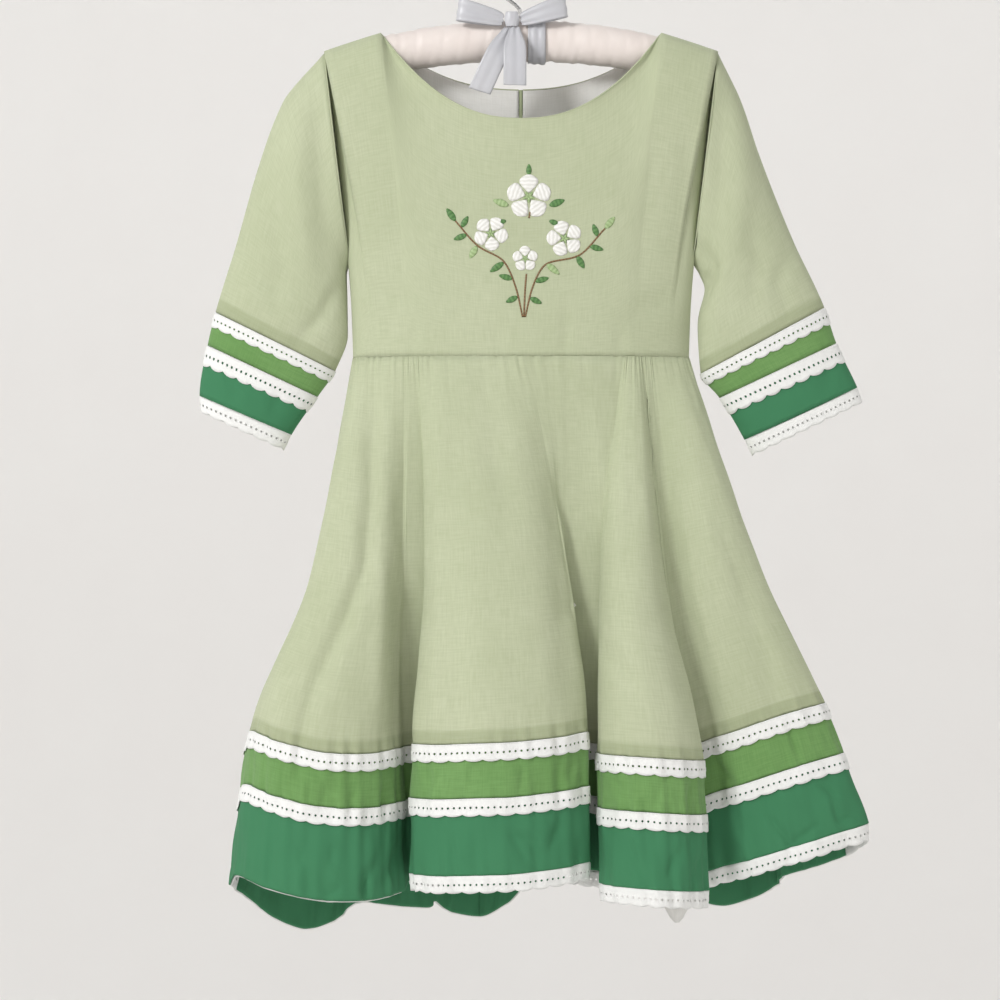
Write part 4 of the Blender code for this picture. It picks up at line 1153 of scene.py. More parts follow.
@dataclass
class Skirt:
    """Skirt panels, their bands and lace, and the lining."""

    form: SkirtForm
    upper: float = 0.115
    middle: float = 0.073
    hem: float = 0.014
    gap: float = 0.00012
    column: float = 0.0023
    lace_out: float = 0.0011
    lace_slack: float = 0.0004
    overlay: float = 0.00135
    hem_edge: float = 0.0012
    stitching: Stitching = field(default_factory=lambda: Stitching(Finish.WHITE_THREAD))

    def turn(self, side: str, places: np.ndarray) -> tuple[np.ndarray, np.ndarray]:
        """How far the hem lace is turned up at each place.

        Args:
            side: The panel.
            places: Places round the hem.

        Returns:
            The turn in degrees, below zero for outward, and 0 to 1 for how flat it lies on the band.
        """
        if side == "front":
            degrees = np.interp(places, *zip(*HEM_TURN))
        else:
            degrees = np.full(len(places), HEM_TURN_BACK)
        return degrees, (1 - np.cos(np.radians(degrees))) / 2

    def strip(self, name: str, node: str, places: np.ndarray, top: float | None, low: float,
              shares: np.ndarray, finish: Finish, drop: np.ndarray | float = 0.0) -> bpy.types.Object:
        """Builds one panel or band.

        Args:
            name: The piece's name.
            node: The solid that it stands for.
            places: Places round the hem.
            top: Its upper edge, up from the cloth's lowest edge, or None at the waist.
            low: Its lower edge, up from the same.
            shares: Where its rows lie, from 0 at its upper edge to 1 at its lower.
            finish: What it is made of.
            drop: How much further down its lower edge lies, at each place.

        Returns:
            The piece.
        """
        def downs(length: np.ndarray) -> list[np.ndarray]:
            """The rows' lengths down the cloth."""
            start = length * 0 if top is None else length - top + self.gap
            end = length - low - self.gap + drop
            return [start + (end - start) * share for share in shares]

        grid = self.form.surface(places, downs)
        allowance = SEAM_ALLOWANCE if top is None else 0.0
        return Shell(name, grid, finish, allowance=allowance).sheet(node)

    def lace(self, name: str, node: str, places: np.ndarray, line: float, tile: LaceTile) -> None:
        """Lays a row of lace along a seam.

        Args:
            name: The piece's name.
            node: The solid that it stands for.
            places: Places round the hem.
            line: The seam's height up from the cloth's lowest edge.
            tile: The lace.
        """
        def downs(length: np.ndarray) -> list[np.ndarray]:
            """Rows 1 mm apart down the lace."""
            return [length - line + self.gap + MM * i for i in range(LACE_ROWS)]

        grid = self.form.surface(places, downs)
        slack = np.linspace(0, 1, LACE_ROWS)[:, None, None]
        grid = grid + outward(grid) * (self.lace_out + self.lace_slack * slack)
        tile.lay(name, node, grid, False)
        self.stitching.sew((grid + outward(grid) * 0.3 * MM)[1], outward(grid)[1])

    def hem_lace(self, name: str, node: str, side: str, places: np.ndarray, tile: LaceTile) -> None:
        """Hangs the hem lace from its band, turned up where the dress shows it turned up.

        Args:
            name: The piece's name.
            node: The solid that it stands for.
            side: The panel.
            places: Places round the hem.
            tile: The lace.
        """
        degrees, over = self.turn(side, places)

        def downs(length: np.ndarray) -> list[np.ndarray]:
            """The lace's own edge, and a row 1 mm below it for its direction."""
            start = length - self.hem + self.gap + over * (self.hem - self.hem_edge)
            return [start, np.minimum(start + MM, length)]

        strip = self.form.surface(places, downs)
        down = unit(strip[1] - strip[0])
        into = -outward(strip)[0] * np.sign(degrees)[:, None]
        angle = np.radians(np.abs(degrees))[:, None]
        top = strip[0] + into * (self.overlay * over)[:, None] + down * (self.hem_edge * 0.6 * over)[:, None]
        way = np.cos(angle) * down + np.sin(angle) * into
        grid = top + np.arange(LACE_ROWS)[:, None, None] * MM * way
        tile.lay(name, node, grid, False)

    def build(self) -> None:
        """Builds the skirt's pieces."""
        tile = LaceTile()
        panel_rows = np.concatenate([np.linspace(0, 0.955, 38), np.linspace(0.962, 1, 7)])
        leaf_rows, emerald_rows = np.linspace(0, 1, 19), np.linspace(0, 1, 31)
        sides = {
            "front": (Seam.LEFT.value - self.form.count, Seam.RIGHT.value),
            "back_right": (Seam.RIGHT.value, Seam.BACK.value),
            "back_left": (Seam.BACK.value, Seam.LEFT.value),
        }
        for side, (first, last) in sides.items():
            places = self.form.places(first, last, self.column, 0.10)
            turned = self.turn(side, places)[1] * (self.hem - self.hem_edge)
            for name, node, top, low, rows, finish, drop in (
                ("skirt_cloth", "skirt", None, self.upper, panel_rows, Finish.SAGE, 0.0),
                ("leaf_band", "skirt_band_upper", self.upper, self.middle, leaf_rows, Finish.LEAF, 0.0),
                ("emerald_band", "skirt_band_lower", self.middle, self.hem, emerald_rows, Finish.EMERALD,
                 turned),
            ):
                self.strip(f"{name}_{side}", f"{node}_{side}", places, top, low, rows, finish, drop)
            for name, line in (("lace_upper", self.upper), ("lace_middle", self.middle)):
                self.lace(f"{name}_{side}", f"skirt_{name}_{side}", places, line, tile)
            self.hem_lace(f"lace_hem_{side}", f"skirt_lace_hem_{side}", side, places, tile)
            log.info("skirt %s: %d columns", side, len(places))
        self.stitching.build("skirt_lace_stitches")
        self.lining()

    def lining(self) -> None:
        """Builds the white lining, a plain cone inside the folds, with its own soft waves."""
        count, rows, inside = 160, 40, 0.0018
        swing = np.arange(count) / count * 2 * math.pi
        across, along = np.sin(swing), -np.cos(swing)
        top = np.stack([
            (WAIST_HALF_WIDTH - inside) * across,
            np.where(along < 0, WAIST_FRONT - inside, WAIST_BACK - inside) * along,
            np.full(count, WAIST_Z - 0.0012),
        ], axis=-1)
        left, right, dip_x, dip_width = -0.200, 0.148, 0.124, 0.016
        hem_x = (left + right) / 2 + (right - left) / 2 * across
        dip = np.exp(-(((hem_x - dip_x) / dip_width) ** 2)) * (along < 0)
        hem = np.stack([
            hem_x, np.where(along < 0, 0.019, 0.0105) * along, -0.733 - 0.040 * dip
        ], axis=-1)
        share = np.linspace(0, 1, rows + 1)[:, None, None]
        grid = top + (hem - top) * share
        wave = np.sin(swing * 9 + 0.6) + 0.6 * np.sin(swing * 17 + 2.0)
        grid = grid + outward(grid, True) * (0.0011 * wave[None, :, None] * share)
        Shell("skirt_lining_cloth", grid, Finish.LINING, True).sheet("skirt_lining")


@dataclass
class BodiceForm:
    """The bodice's surface: columns that run from the waist to the armhole, shoulder or neckline.

    Attributes:
        armhole_share: The part of a half panel whose columns end at the armhole.
        shoulder_seam_share: The part whose columns end at the shoulder seam. The rest end at the neck.
        cloth_on_pad: From the middle of the hanger's arm up to the shoulder seam.
        off_pad: How far the cloth stands off the arm.
        easing_rounds: How often each point is drawn to its neighbours.
    """

    neck_half_width: float = 0.112
    front_neck_depth: float = 0.0712
    back_neck_depth: float = 0.041
    shoulder_half_width: float = 0.157
    underarm_half_width: float = 0.1368
    underarm_z: float = -0.246
    armhole_depth: float = 0.026
    shoulder_gap: float = 0.00025
    armhole_share: float = 0.34
    shoulder_seam_share: float = 0.20
    cloth_on_pad: float = 0.01855
    off_pad: float = 0.0009
    easing_rounds: int = 400

    def shoulder_z(self, x: float) -> float:
        """Height of the shoulder seam at x."""
        return pad_height(x) + self.cloth_on_pad

    def armhole_point(self, share: float, side: float, way: float) -> np.ndarray:
        """A point of the armhole, from the shoulder at 0 to the underarm at 1."""
        swing = math.pi * share
        down = (1 - math.cos(swing)) / 2
        top = self.shoulder_z(self.shoulder_half_width)
        x = self.shoulder_half_width + (self.underarm_half_width - self.shoulder_half_width) * down
        z = top + (self.underarm_z - top) * down
        return np.array([side * x, way * self.armhole_depth * math.sin(swing), z])

    def neck_point(self, x: float, way: float) -> np.ndarray:
        """A point of the neckline at x, on the front (way -1) or the back (way 1)."""
        share = abs(x) / self.neck_half_width
        drop = self.front_neck_depth if way < 0 else self.back_neck_depth
        reach = 0.027 if way < 0 else 0.024
        z = self.shoulder_z(self.neck_half_width) - drop * (1 - share**2.3)
        return np.array([x, way * (reach * math.sqrt(max(0.0, 1 - share**4)) + self.shoulder_gap), z])

    def column(self, share: float, way: float, depth: float, waist_depth: float) -> np.ndarray:
        """The four points that bend one column. share runs from -1 to 1 across the panel."""
        side = -1.0 if share < 0 else 1.0
        inward = 1 - abs(share)
        bottom = np.array([
            WAIST_HALF_WIDTH * math.sin(share * math.pi / 2),
            way * waist_depth * math.cos(share * math.pi / 2),
            WAIST_Z + 0.00004,
        ])
        seam = self.armhole_share + self.shoulder_seam_share
        if inward < self.armhole_share:
            along = 1 - inward / self.armhole_share
            top = self.armhole_point(along, side, way)
            top[1] = way * max(way * top[1], self.shoulder_gap)
            inner = (bottom - top) / 3
            inner[1] = way * (depth - way * top[1]) * (1 - along) ** 0.5 * 0.9
            inner[2] *= 1 - 0.6 * (1 - along) ** 3
        elif inward < seam:
            along = (inward - self.armhole_share) / self.shoulder_seam_share
            x = self.shoulder_half_width + (self.neck_half_width - self.shoulder_half_width) * along
            top = np.array([side * x, way * self.shoulder_gap, self.shoulder_z(x)])
            inner = np.array([0, way * depth, 0])
        else:
            along = (inward - seam) / (1 - seam)
            top = self.neck_point(side * self.neck_half_width * (1 - along), way)
            edge = max(0.0, 1 - along * 4) ** 2
            fall = (bottom[2] - top[2]) / 3
            inner = np.array([0, way * (depth * edge + 0.006 * (1 - edge)), fall * (1 - edge)])
        lower = bottom + np.array([0, way * 0.004, (top[2] - bottom[2]) / 3])
        lower[0] = bottom[0] + (top[0] - bottom[0]) * 0.15
        return np.array([bottom, lower, top + inner, top])

    def grid(
        self, way: float, depth: float, waist_depth: float, shares: Sequence[float], rows: int
    ) -> np.ndarray:
        """Points of a panel, from its upper edge down to the waist.

        Args:
            way: -1 for the front, 1 for the back.
            depth: How far the chest stands out.
            waist_depth: How far the waist stands out.
            shares: Places across the panel, -1 to 1.
            rows: How many rows of faces.

        Returns:
            Rows and columns of points.
        """
        t = (1 - np.linspace(0, 1, rows + 1) ** 1.4)[:, None]
        columns = []
        for share in shares:
            a, b, c, d = self.column(share, way, depth, waist_depth)
            columns.append((1 - t) ** 3 * a + 3 * (1 - t) ** 2 * t * b + 3 * (1 - t) * t**2 * c + t**3 * d)
        return self.eased(np.array(columns).transpose(1, 0, 2), way)

    def eased(self, grid: np.ndarray, way: float) -> np.ndarray:
        """Lets the cloth fall smoothly from the shoulder, clear of the padded arm.

        Args:
            grid: The panel's points.
            way: -1 for the front, 1 for the back.

        Returns:
            The points, with the same edges.
        """
        if grid.shape[1] < 3:
            return grid
        grid = grid.copy()
        flat, y = grid[..., [0, 2]], grid[..., 1]
        across = np.linalg.norm(np.diff(flat, axis=1), axis=-1)[1:-1]
        down = np.linalg.norm(np.diff(flat, axis=0), axis=-1)[:, 1:-1]
        left = across[:, 1:] / (across[:, :-1] + across[:, 1:])
        above = down[1:] / (down[:-1] + down[1:])
        for _ in range(self.easing_rounds):
            beside = y[1:-1, :-2] * left + y[1:-1, 2:] * (1 - left)
            along = y[:-2, 1:-1] * above + y[2:, 1:-1] * (1 - above)
            y[1:-1, 1:-1] += 0.6 * (0.65 * beside + 0.35 * along - y[1:-1, 1:-1])
        x, z = np.abs(grid[..., 0]), grid[..., 2]
        radius = PAD_RADIUS * pad_taper(x)
        rise = z - pad_height(x) - (PAD_RADIUS - radius)
        depth = PAD_FLATTEN * np.sqrt(np.maximum(radius**2 - rise**2, 0)) + self.off_pad
        held = (np.abs(rise) < radius) & (x < PAD_HALF_LENGTH)
        held[0] = False
        grid[..., 1] = np.where(held, way * np.maximum(way * grid[..., 1], depth), grid[..., 1])
        return grid

    def half_shares(self) -> list[float]:
        """Places across a half panel, from the side seam to the centre."""
        corner = 1 - self.armhole_share
        neck = corner - self.shoulder_seam_share
        armhole = [1 - self.armhole_share * i / 18 for i in range(18)]
        shoulder = [corner - self.shoulder_seam_share * i / 9 for i in range(10)]
        return armhole + shoulder + [neck * (1 - (i / 34) ** 1.25) for i in range(1, 35)]


@dataclass
class Bodice:
    """Front, back halves, neck facings and the rolled neck edge; its front is the ground of the embroidery on
    the chest.
    """

    form: BodiceForm
    front_creases: tuple[Crease, ...]
    back_creases: tuple[Crease, ...]
    chest_front: float = 0.043
    chest_back: float = 0.034
    zip_gap: float = 0.0018
    facing_share: float = 0.39
    facing_rows: int = 44
    facing_inside: float = 0.0012
    rows: int = 64
    cut_width: float = 0.328

    def build(self) -> bpy.types.Object:
        """Builds the bodice's cloth.

        Returns:
            The front, for what is worked on it.
        """
        half = self.form.half_shares()
        across = [-s for s in half] + half[-2::-1]
        grid = creased(
            self.form.grid(-1, self.chest_front, WAIST_FRONT, across, self.rows), self.front_creases, -1
        )
        front = Shell("bodice_cloth_front", grid, Finish.SAGE).sheet(
            "bodice_front", self.cut_width
        )
        self.neck_edge("neck_edge_front", grid, across)
        for name, side in (("left", -1), ("right", 1)):
            shares = np.array([side * s for s in (reversed(half) if side < 0 else half)])
            grid = self.form.grid(1, self.chest_back, WAIST_BACK, shares, self.rows)
            centre = 0 if side < 0 else -1
            grid[:, centre, 0] = side * self.zip_gap
            grid = creased(grid, self.back_creases, 1)
            Shell(f"bodice_cloth_back_{name}", grid, Finish.SAGE).sheet(
                f"bodice_back_{name}", self.cut_width / 2
            )
            self.neck_edge(f"neck_edge_back_{name}", grid, shares)
            kept = np.abs(shares) <= self.facing_share
            facing = (grid - outward(grid) * self.facing_inside)[1 : self.facing_rows, kept]
            Shell(f"neck_facing_{name}", facing, Finish.LINING, thickness=0.0006).sheet(
                f"neck_facing_back_{name}"
            )
        return front

    def neck_edge(self, name: str, grid: np.ndarray, shares: Sequence[float]) -> None:
        """Rolls a narrow edge along the neckline.

        Args:
            name: The piece's name.
            grid: The panel's points.
            shares: Its places across.
        """
        neck = 1 - self.form.armhole_share - self.form.shoulder_seam_share
        line = [tuple(p) for p, s in zip(grid[0], shares) if abs(s) <= neck + 1e-6]
        curve = bpy.data.curves.new(name, "CURVE")
        curve.dimensions = "3D"
        curve.bevel_depth = 0.00062
        curve.bevel_resolution = 2
        curve.use_fill_caps = True
        spline = curve.splines.new("POLY")
        spline.points.add(len(line) - 1)
        for point, corner in zip(spline.points, line):
            point.co = (*corner, 1)
        add_piece(name, curve, Finish.SAGE)


class Section(NamedTuple):
    """One section across a sleeve, from its outer edge to its inner edge, as in the part's own table."""

    name: str
    along: float
    outer_x: float
    outer_z: float
    inner_x: float
    inner_z: float
    depth: float


LEFT_SLEEVE = (
    Section("armhole", 0.00, -.1570, -.0790, -.1368, -.2460, .026),
    Section("head", 0.10, -.1900, -.1180, -.1396, -.2560, .027),
    Section("upper", 0.30, -.2090, -.1680, -.1392, -.2720, .026),
    Section("elbow", 0.58, -.2280, -.2340, -.1388, -.3040, .022),
    Section("upper_lace", 0.78, -.2440, -.2860, -.1490, -.3330, .019),
    Section("middle_lace", 0.87, -.2504, -.3125, -.1632, -.3536, .017),
    Section("hem_seam", 0.97, -.2568, -.3530, -.1840, -.3840, .015),
    Section("hem", 1.00, -.2560, -.3655, -.1896, -.3960, .014),
)
RIGHT_SLEEVE = (
    Section("armhole", 0.00, .1570, -.0790, .1368, -.2460, .026),
    Section("head", 0.10, .1740, -.1140, .1432, -.2560, .027),
    Section("upper", 0.30, .1900, -.1600, .1472, -.2680, .026),
    Section("elbow", 0.58, .2170, -.2280, .1416, -.2970, .022),
    Section("upper_lace", 0.78, .2424, -.2824, .1440, -.3350, .019),
    Section("middle_lace", 0.87, .2520, -.3110, .1592, -.3544, .017),
    Section("hem_seam", 0.97, .2688, -.3464, .1792, -.3880, .015),
    Section("hem", 1.00, .2730, -.3575, .1848, -.4000, .014),
)


@dataclass
class Sleeve:
    """A three-quarter sleeve with two bands and three rows of lace."""

    name: str
    table: tuple[Section, ...]
    creases: tuple[Crease, ...]
    columns: int = 96
    armhole_gap: float = 0.0002
    underarm_gap: float = 0.0001
    lace_out: float = 0.0010

    def grid(self, along: np.ndarray) -> np.ndarray:
        """Rings of the sleeve, each an oval between its outer and its inner edge.

        Args:
            along: Places along the sleeve, 0 to 1.

        Returns:
            Rows and columns of points.
        """
        values = np.array([row[2:] for row in self.table])
        read = curve_through([row.along for row in self.table], values, along)
        zero = np.zeros(len(along))
        outer = np.stack([read[:, 0], zero, read[:, 1]], axis=-1)
        inner = np.stack([read[:, 2], zero, read[:, 3]], axis=-1)
        side = -1.0 if self.table[0].outer_x < 0 else 1.0
        swing = np.arange(self.columns) / self.columns * 2 * math.pi * side
        ring = ((outer + inner) / 2)[:, None] + ((outer - inner) / 2)[:, None] * np.cos(swing)[None, :, None]
        ring[:, :, 1] += read[:, 4][:, None] * np.sin(swing)[None, :]
        start = np.clip(1 - np.asarray(along) / 0.08, 0, 1)[:, None]
        low = (1 - np.cos(swing)[None, :]) / 2
        ring[:, :, 0] += side * (self.armhole_gap + self.underarm_gap * low) * start
        return creased(creased(ring, self.creases, -1, True), self.creases, 1, True)

    def build(self) -> None:
        """Builds the sleeve's pieces."""
        at = {row.name: row.along for row in self.table}
        edge = np.array([[row.outer_x, row.outer_z] for row in self.table])
        reach = np.linalg.norm(np.diff(edge, axis=0), axis=1).sum()
        gap = 0.0002 / reach
        strips = (
            (f"sleeve_cloth_{self.name}", f"sleeve_{self.name}", 0.0, at["upper_lace"], 70, Finish.SAGE),
            (f"sleeve_leaf_band_{self.name}", f"sleeve_band_upper_{self.name}",
             at["upper_lace"], at["middle_lace"], 8, Finish.LEAF),
            (f"sleeve_emerald_band_{self.name}", f"sleeve_band_lower_{self.name}",
             at["middle_lace"], at["hem_seam"], 10, Finish.EMERALD),
        )
        for name, node, start, end, rows, finish in strips:
            grid = self.grid(np.linspace(start + gap * (start > 0), end - gap, rows + 1))
            allowance = SEAM_ALLOWANCE if finish is Finish.SAGE else 0.0
            Shell(name, grid, finish, True, allowance=allowance).sheet(node)
        tile = LaceTile(
            scallop=12.9 * MM, hole_row=6.4 * MM, cell=2.15 * MM, valley=11.1 * MM, depth=1.9 * MM,
            cut=0.0133,
        )
        stitching = Stitching(Finish.WHITE_THREAD)
        for level, node, start, lift in (
            ("upper", "upper", at["upper_lace"], self.lace_out),
            ("middle", "lower", at["middle_lace"], self.lace_out),
            ("hem", "hem", at["hem_seam"], 0.0),
        ):
            steps = np.array([start + gap + MM * i / reach for i in range(15)])
            grid = self.grid(np.minimum(steps, 1.0)) if level != "hem" else self.hem_grid(start + gap)
            way = outward(grid, True)
            grid = grid + way * lift
            line = (grid + way * 0.3 * MM)[1]
            stitching.sew(np.concatenate([line, line[:1]]), np.concatenate([way[1], way[1, :1]]))
            tile.lay(f"sleeve_lace_{level}_piece_{self.name}", f"sleeve_lace_{node}_{self.name}", grid, True)
        stitching.build(f"sleeve_lace_stitches_{self.name}")
        log.info("sleeve %s: %.0f mm long", self.name, reach / MM)

    def hem_grid(self, start: float) -> np.ndarray:
        """The hem lace's rows, which run on straight below the sleeve's last section."""
        ends = self.grid(np.array([start, 1.0]))
        way = ends[1] - ends[0]
        length = np.linalg.norm(way, axis=-1, keepdims=True).mean()
        return np.array([ends[0] + way / length * MM * i for i in range(15)])


@dataclass
class Hanger:
    """The padded arm in its gathered satin cover, the hook, and the ribbon tied round them."""

    end_radius: float = 0.0125
    knot: tuple[float, float, float] = (-0.0073, -0.0142, -0.0540)
    knot_size: tuple[float, float, float] = (0.0120, 0.0090, 0.0120)
    ribbon_half: float = 0.0090
    loop_length: float = 0.0360

    def build(self) -> None:
        """Builds the hanger's pieces."""
        self.arm()
        self.bow()
        for node in ("hanger_hook", "zip_slider", "zip_pull"):
            obj = bpy.data.objects[node]
            for slot in obj.material_slots:
                slot.material = Finish.STEEL.material()
            if node == "hanger_hook":
                obj.data.shade_smooth()

    def arm(self) -> None:
        """Builds the padded arm: rings along it, gathered by the cover's running thread."""
        stations, around = 220, 56
        swing = np.arange(around) / around * 2 * math.pi
        rings = []
        for station in np.linspace(-1, 1, stations):
            x = PAD_HALF_LENGTH * math.sin(station * math.pi / 2)
            near_end = max(0.0, (abs(x) - PAD_HALF_LENGTH + self.end_radius) / self.end_radius)
            taper = pad_taper(x)
            radius = PAD_RADIUS * taper * math.sqrt(max(0.012, 1 - near_end**2))
            phase = x / MM
            gather = (
                0.5 * np.sin(phase / 1.9 + 1.6 * np.sin(swing + phase / 31))
                + 0.35 * np.sin(phase / 1.1 + 2.3 * np.cos(swing * 2 + 0.7))
                + 0.45 * np.sin(phase / 4.3 + 0.9 * np.sin(swing * 3 + phase / 17))
            )
            bunched = 0.35 + 0.65 * (0.5 + 0.5 * math.sin(phase / 23 + 1.0))
            r = radius - 0.00070 + 0.00080 * gather * bunched * (1 - near_end)
            middle = pad_height(x) + PAD_RADIUS - PAD_RADIUS * taper
            rings.append(np.stack(
                [np.full(around, x), -r * PAD_FLATTEN * np.sin(swing), middle + r * np.cos(swing)], axis=-1
            ))
        faces = grid_faces(stations, around, True, True)
        faces.append(tuple(reversed(range(around))))
        faces.append(tuple(range(stations * around - around, stations * around)))
        verts = np.concatenate(rings)
        corners = [verts[i, [2, 0]] for face in faces for i in face]
        obj = add_piece("padded_arm", new_mesh("padded_arm", verts, faces, corners), Finish.PADDING)
        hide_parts("hanger_pad")
        log.info("padded arm: %.0f mm long", 2 * PAD_HALF_LENGTH / MM)

    def ribbon(
        self, name: str, node: str, line: np.ndarray, widths: np.ndarray, closed: bool = False
    ) -> None:
        """Builds a length of ribbon.

        Args:
            name: The piece's name.
            node: The solid that it stands for.
            line: Its middle line.
            widths: The vector of its half width at each point of the line.
            closed: Whether its end meets its start.
        """
        fine = 72 if closed else 40
        count = len(line)
        if closed:
            places = np.linspace(0, count, fine, endpoint=False)
            middle, half = ring_through(line, places), ring_through(widths, places)
        else:
            knots, at = np.arange(count), np.linspace(0, count - 1, fine)
            middle, half = curve_through(knots, line, at), curve_through(knots, widths, at)
        rows = np.linspace(1, -1, 13)
        spread = np.linalg.norm(half, axis=-1) / self.ribbon_half
        way = unit(np.cross(half, np.gradient(middle, axis=0)))
        grid = []
        for row in rows:
            pucker = 0.0009 * np.sin(row * 7.0 + 0.5) * np.clip(1.25 - spread, 0, 1)
            grid.append(middle + half * row + way * pucker[:, None])
        Shell(name, np.array(grid), Finish.RIBBON, closed, 0.0005).sheet(node)

    def bow(self) -> None:
        """Builds two loops, two tails, the knot and the turn round the arm."""
        knot_x, knot_y, knot_z = self.knot
        wide, _, tall = self.knot_size
        for name, side, rise in (("left", -1, 0.008), ("right", 1, 0.011)):
            line, widths = [], []
            for i in range(14):
                swing = 2 * math.pi * i / 14
                out = (1 - math.cos(swing)) / 2
                root = knot_x + side * (wide / 2 + 0.0003 + 0.0008)
                y = knot_y - 0.0040 * math.sin(swing) * side * (0.35 + out)
                line.append((root + side * self.loop_length * out, y, knot_z + rise * out))
                spread = self.ribbon_half * (0.45 + 0.55 * math.sqrt(out))
                widths.append((side * -0.15 * spread, 0, spread))
            self.ribbon(f"ribbon_loop_{name}", f"bow_loop_{name}", np.array(line), np.array(widths), True)
        under = knot_z - tall / 2 - 0.0006
        tails = (
            ("left", (-0.0092, knot_y - 0.0005, under - 0.0006), (-0.0330, -0.0200, -0.112), 0.30),
            ("right", (-0.0050, knot_y - 0.0022, under), (-0.0050, -0.0260, -0.108), 0.03),
        )
        for name, start, end, lean in tails:
            steps = np.linspace(0, 1, 8)[:, None]
            line = np.array(start) + (np.array(end) - np.array(start)) * steps
            line[:, 1] -= 0.006 * np.sin(steps[:, 0] * math.pi)
            spread = self.ribbon_half * (0.45 + 0.55 * np.minimum(1, steps * 3))
            widths = spread * np.array([math.cos(lean), 0.0, -math.sin(lean)])
            self.ribbon(f"ribbon_tail_{name}", f"bow_tail_{name}", line, widths)
        swing = np.arange(20) / 20 * 2 * math.pi
        clear = 0.0011 / math.cos(math.pi / 20)
        x = 0.0125
        line = np.stack([
            np.full(20, x), -(PAD_RADIUS * PAD_FLATTEN + clear) * np.sin(swing),
            pad_height(x) + (PAD_RADIUS + clear) * np.cos(swing),
        ], axis=-1)
        self.ribbon("ribbon_turn", "bow_wrap", line, np.tile([0.0070, 0, -0.0004], (20, 1)), True)
        self.tie()

    def tie(self) -> None:
        """Builds the knot: a short tube of ribbon, pinched at its ends and creased across."""
        around, along = 40, 24
        x, y, z = self.knot
        wide, deep, tall = self.knot_size
        grid = []
        for row in np.linspace(-1, 1, along):
            swing = np.arange(around) / around * 2 * math.pi
            crease = 1 + 0.035 * np.sin(swing * 5 + row * 2.2) + 0.02 * np.sin(swing * 11 - row * 3)
            full = (1 - 0.16 * row**2) * crease
            grid.append(np.stack([
                x + wide / 2 * np.sign(np.cos(swing)) * np.abs(np.cos(swing)) ** 0.8 * full * 0.95,
                y - deep / 2 * np.sign(np.sin(swing)) * np.abs(np.sin(swing)) ** 0.8 * full * 0.92,
                np.full(around, z - row * tall / 2 * 0.97),
            ], axis=-1))
        grid = np.array(grid)
        ends = np.array([grid[0].mean(axis=0), grid[-1].mean(axis=0)])
        verts = np.concatenate([grid.reshape(-1, 3), ends])
        faces = grid_faces(along, around, True)
        for j in range(around):
            k = (j + 1) % around
            faces.append((len(verts) - 2, j, k))
            faces.append((len(verts) - 1, (along - 1) * around + k, (along - 1) * around + j))
        corners = [verts[i, [0, 2]] for face in faces for i in face]
        obj = add_piece("ribbon_knot", new_mesh("ribbon_knot", verts, faces, corners), Finish.RIBBON)
        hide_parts("bow_knot")


Patch = tuple[np.ndarray, np.ndarray, list[tuple[int, ...]]]


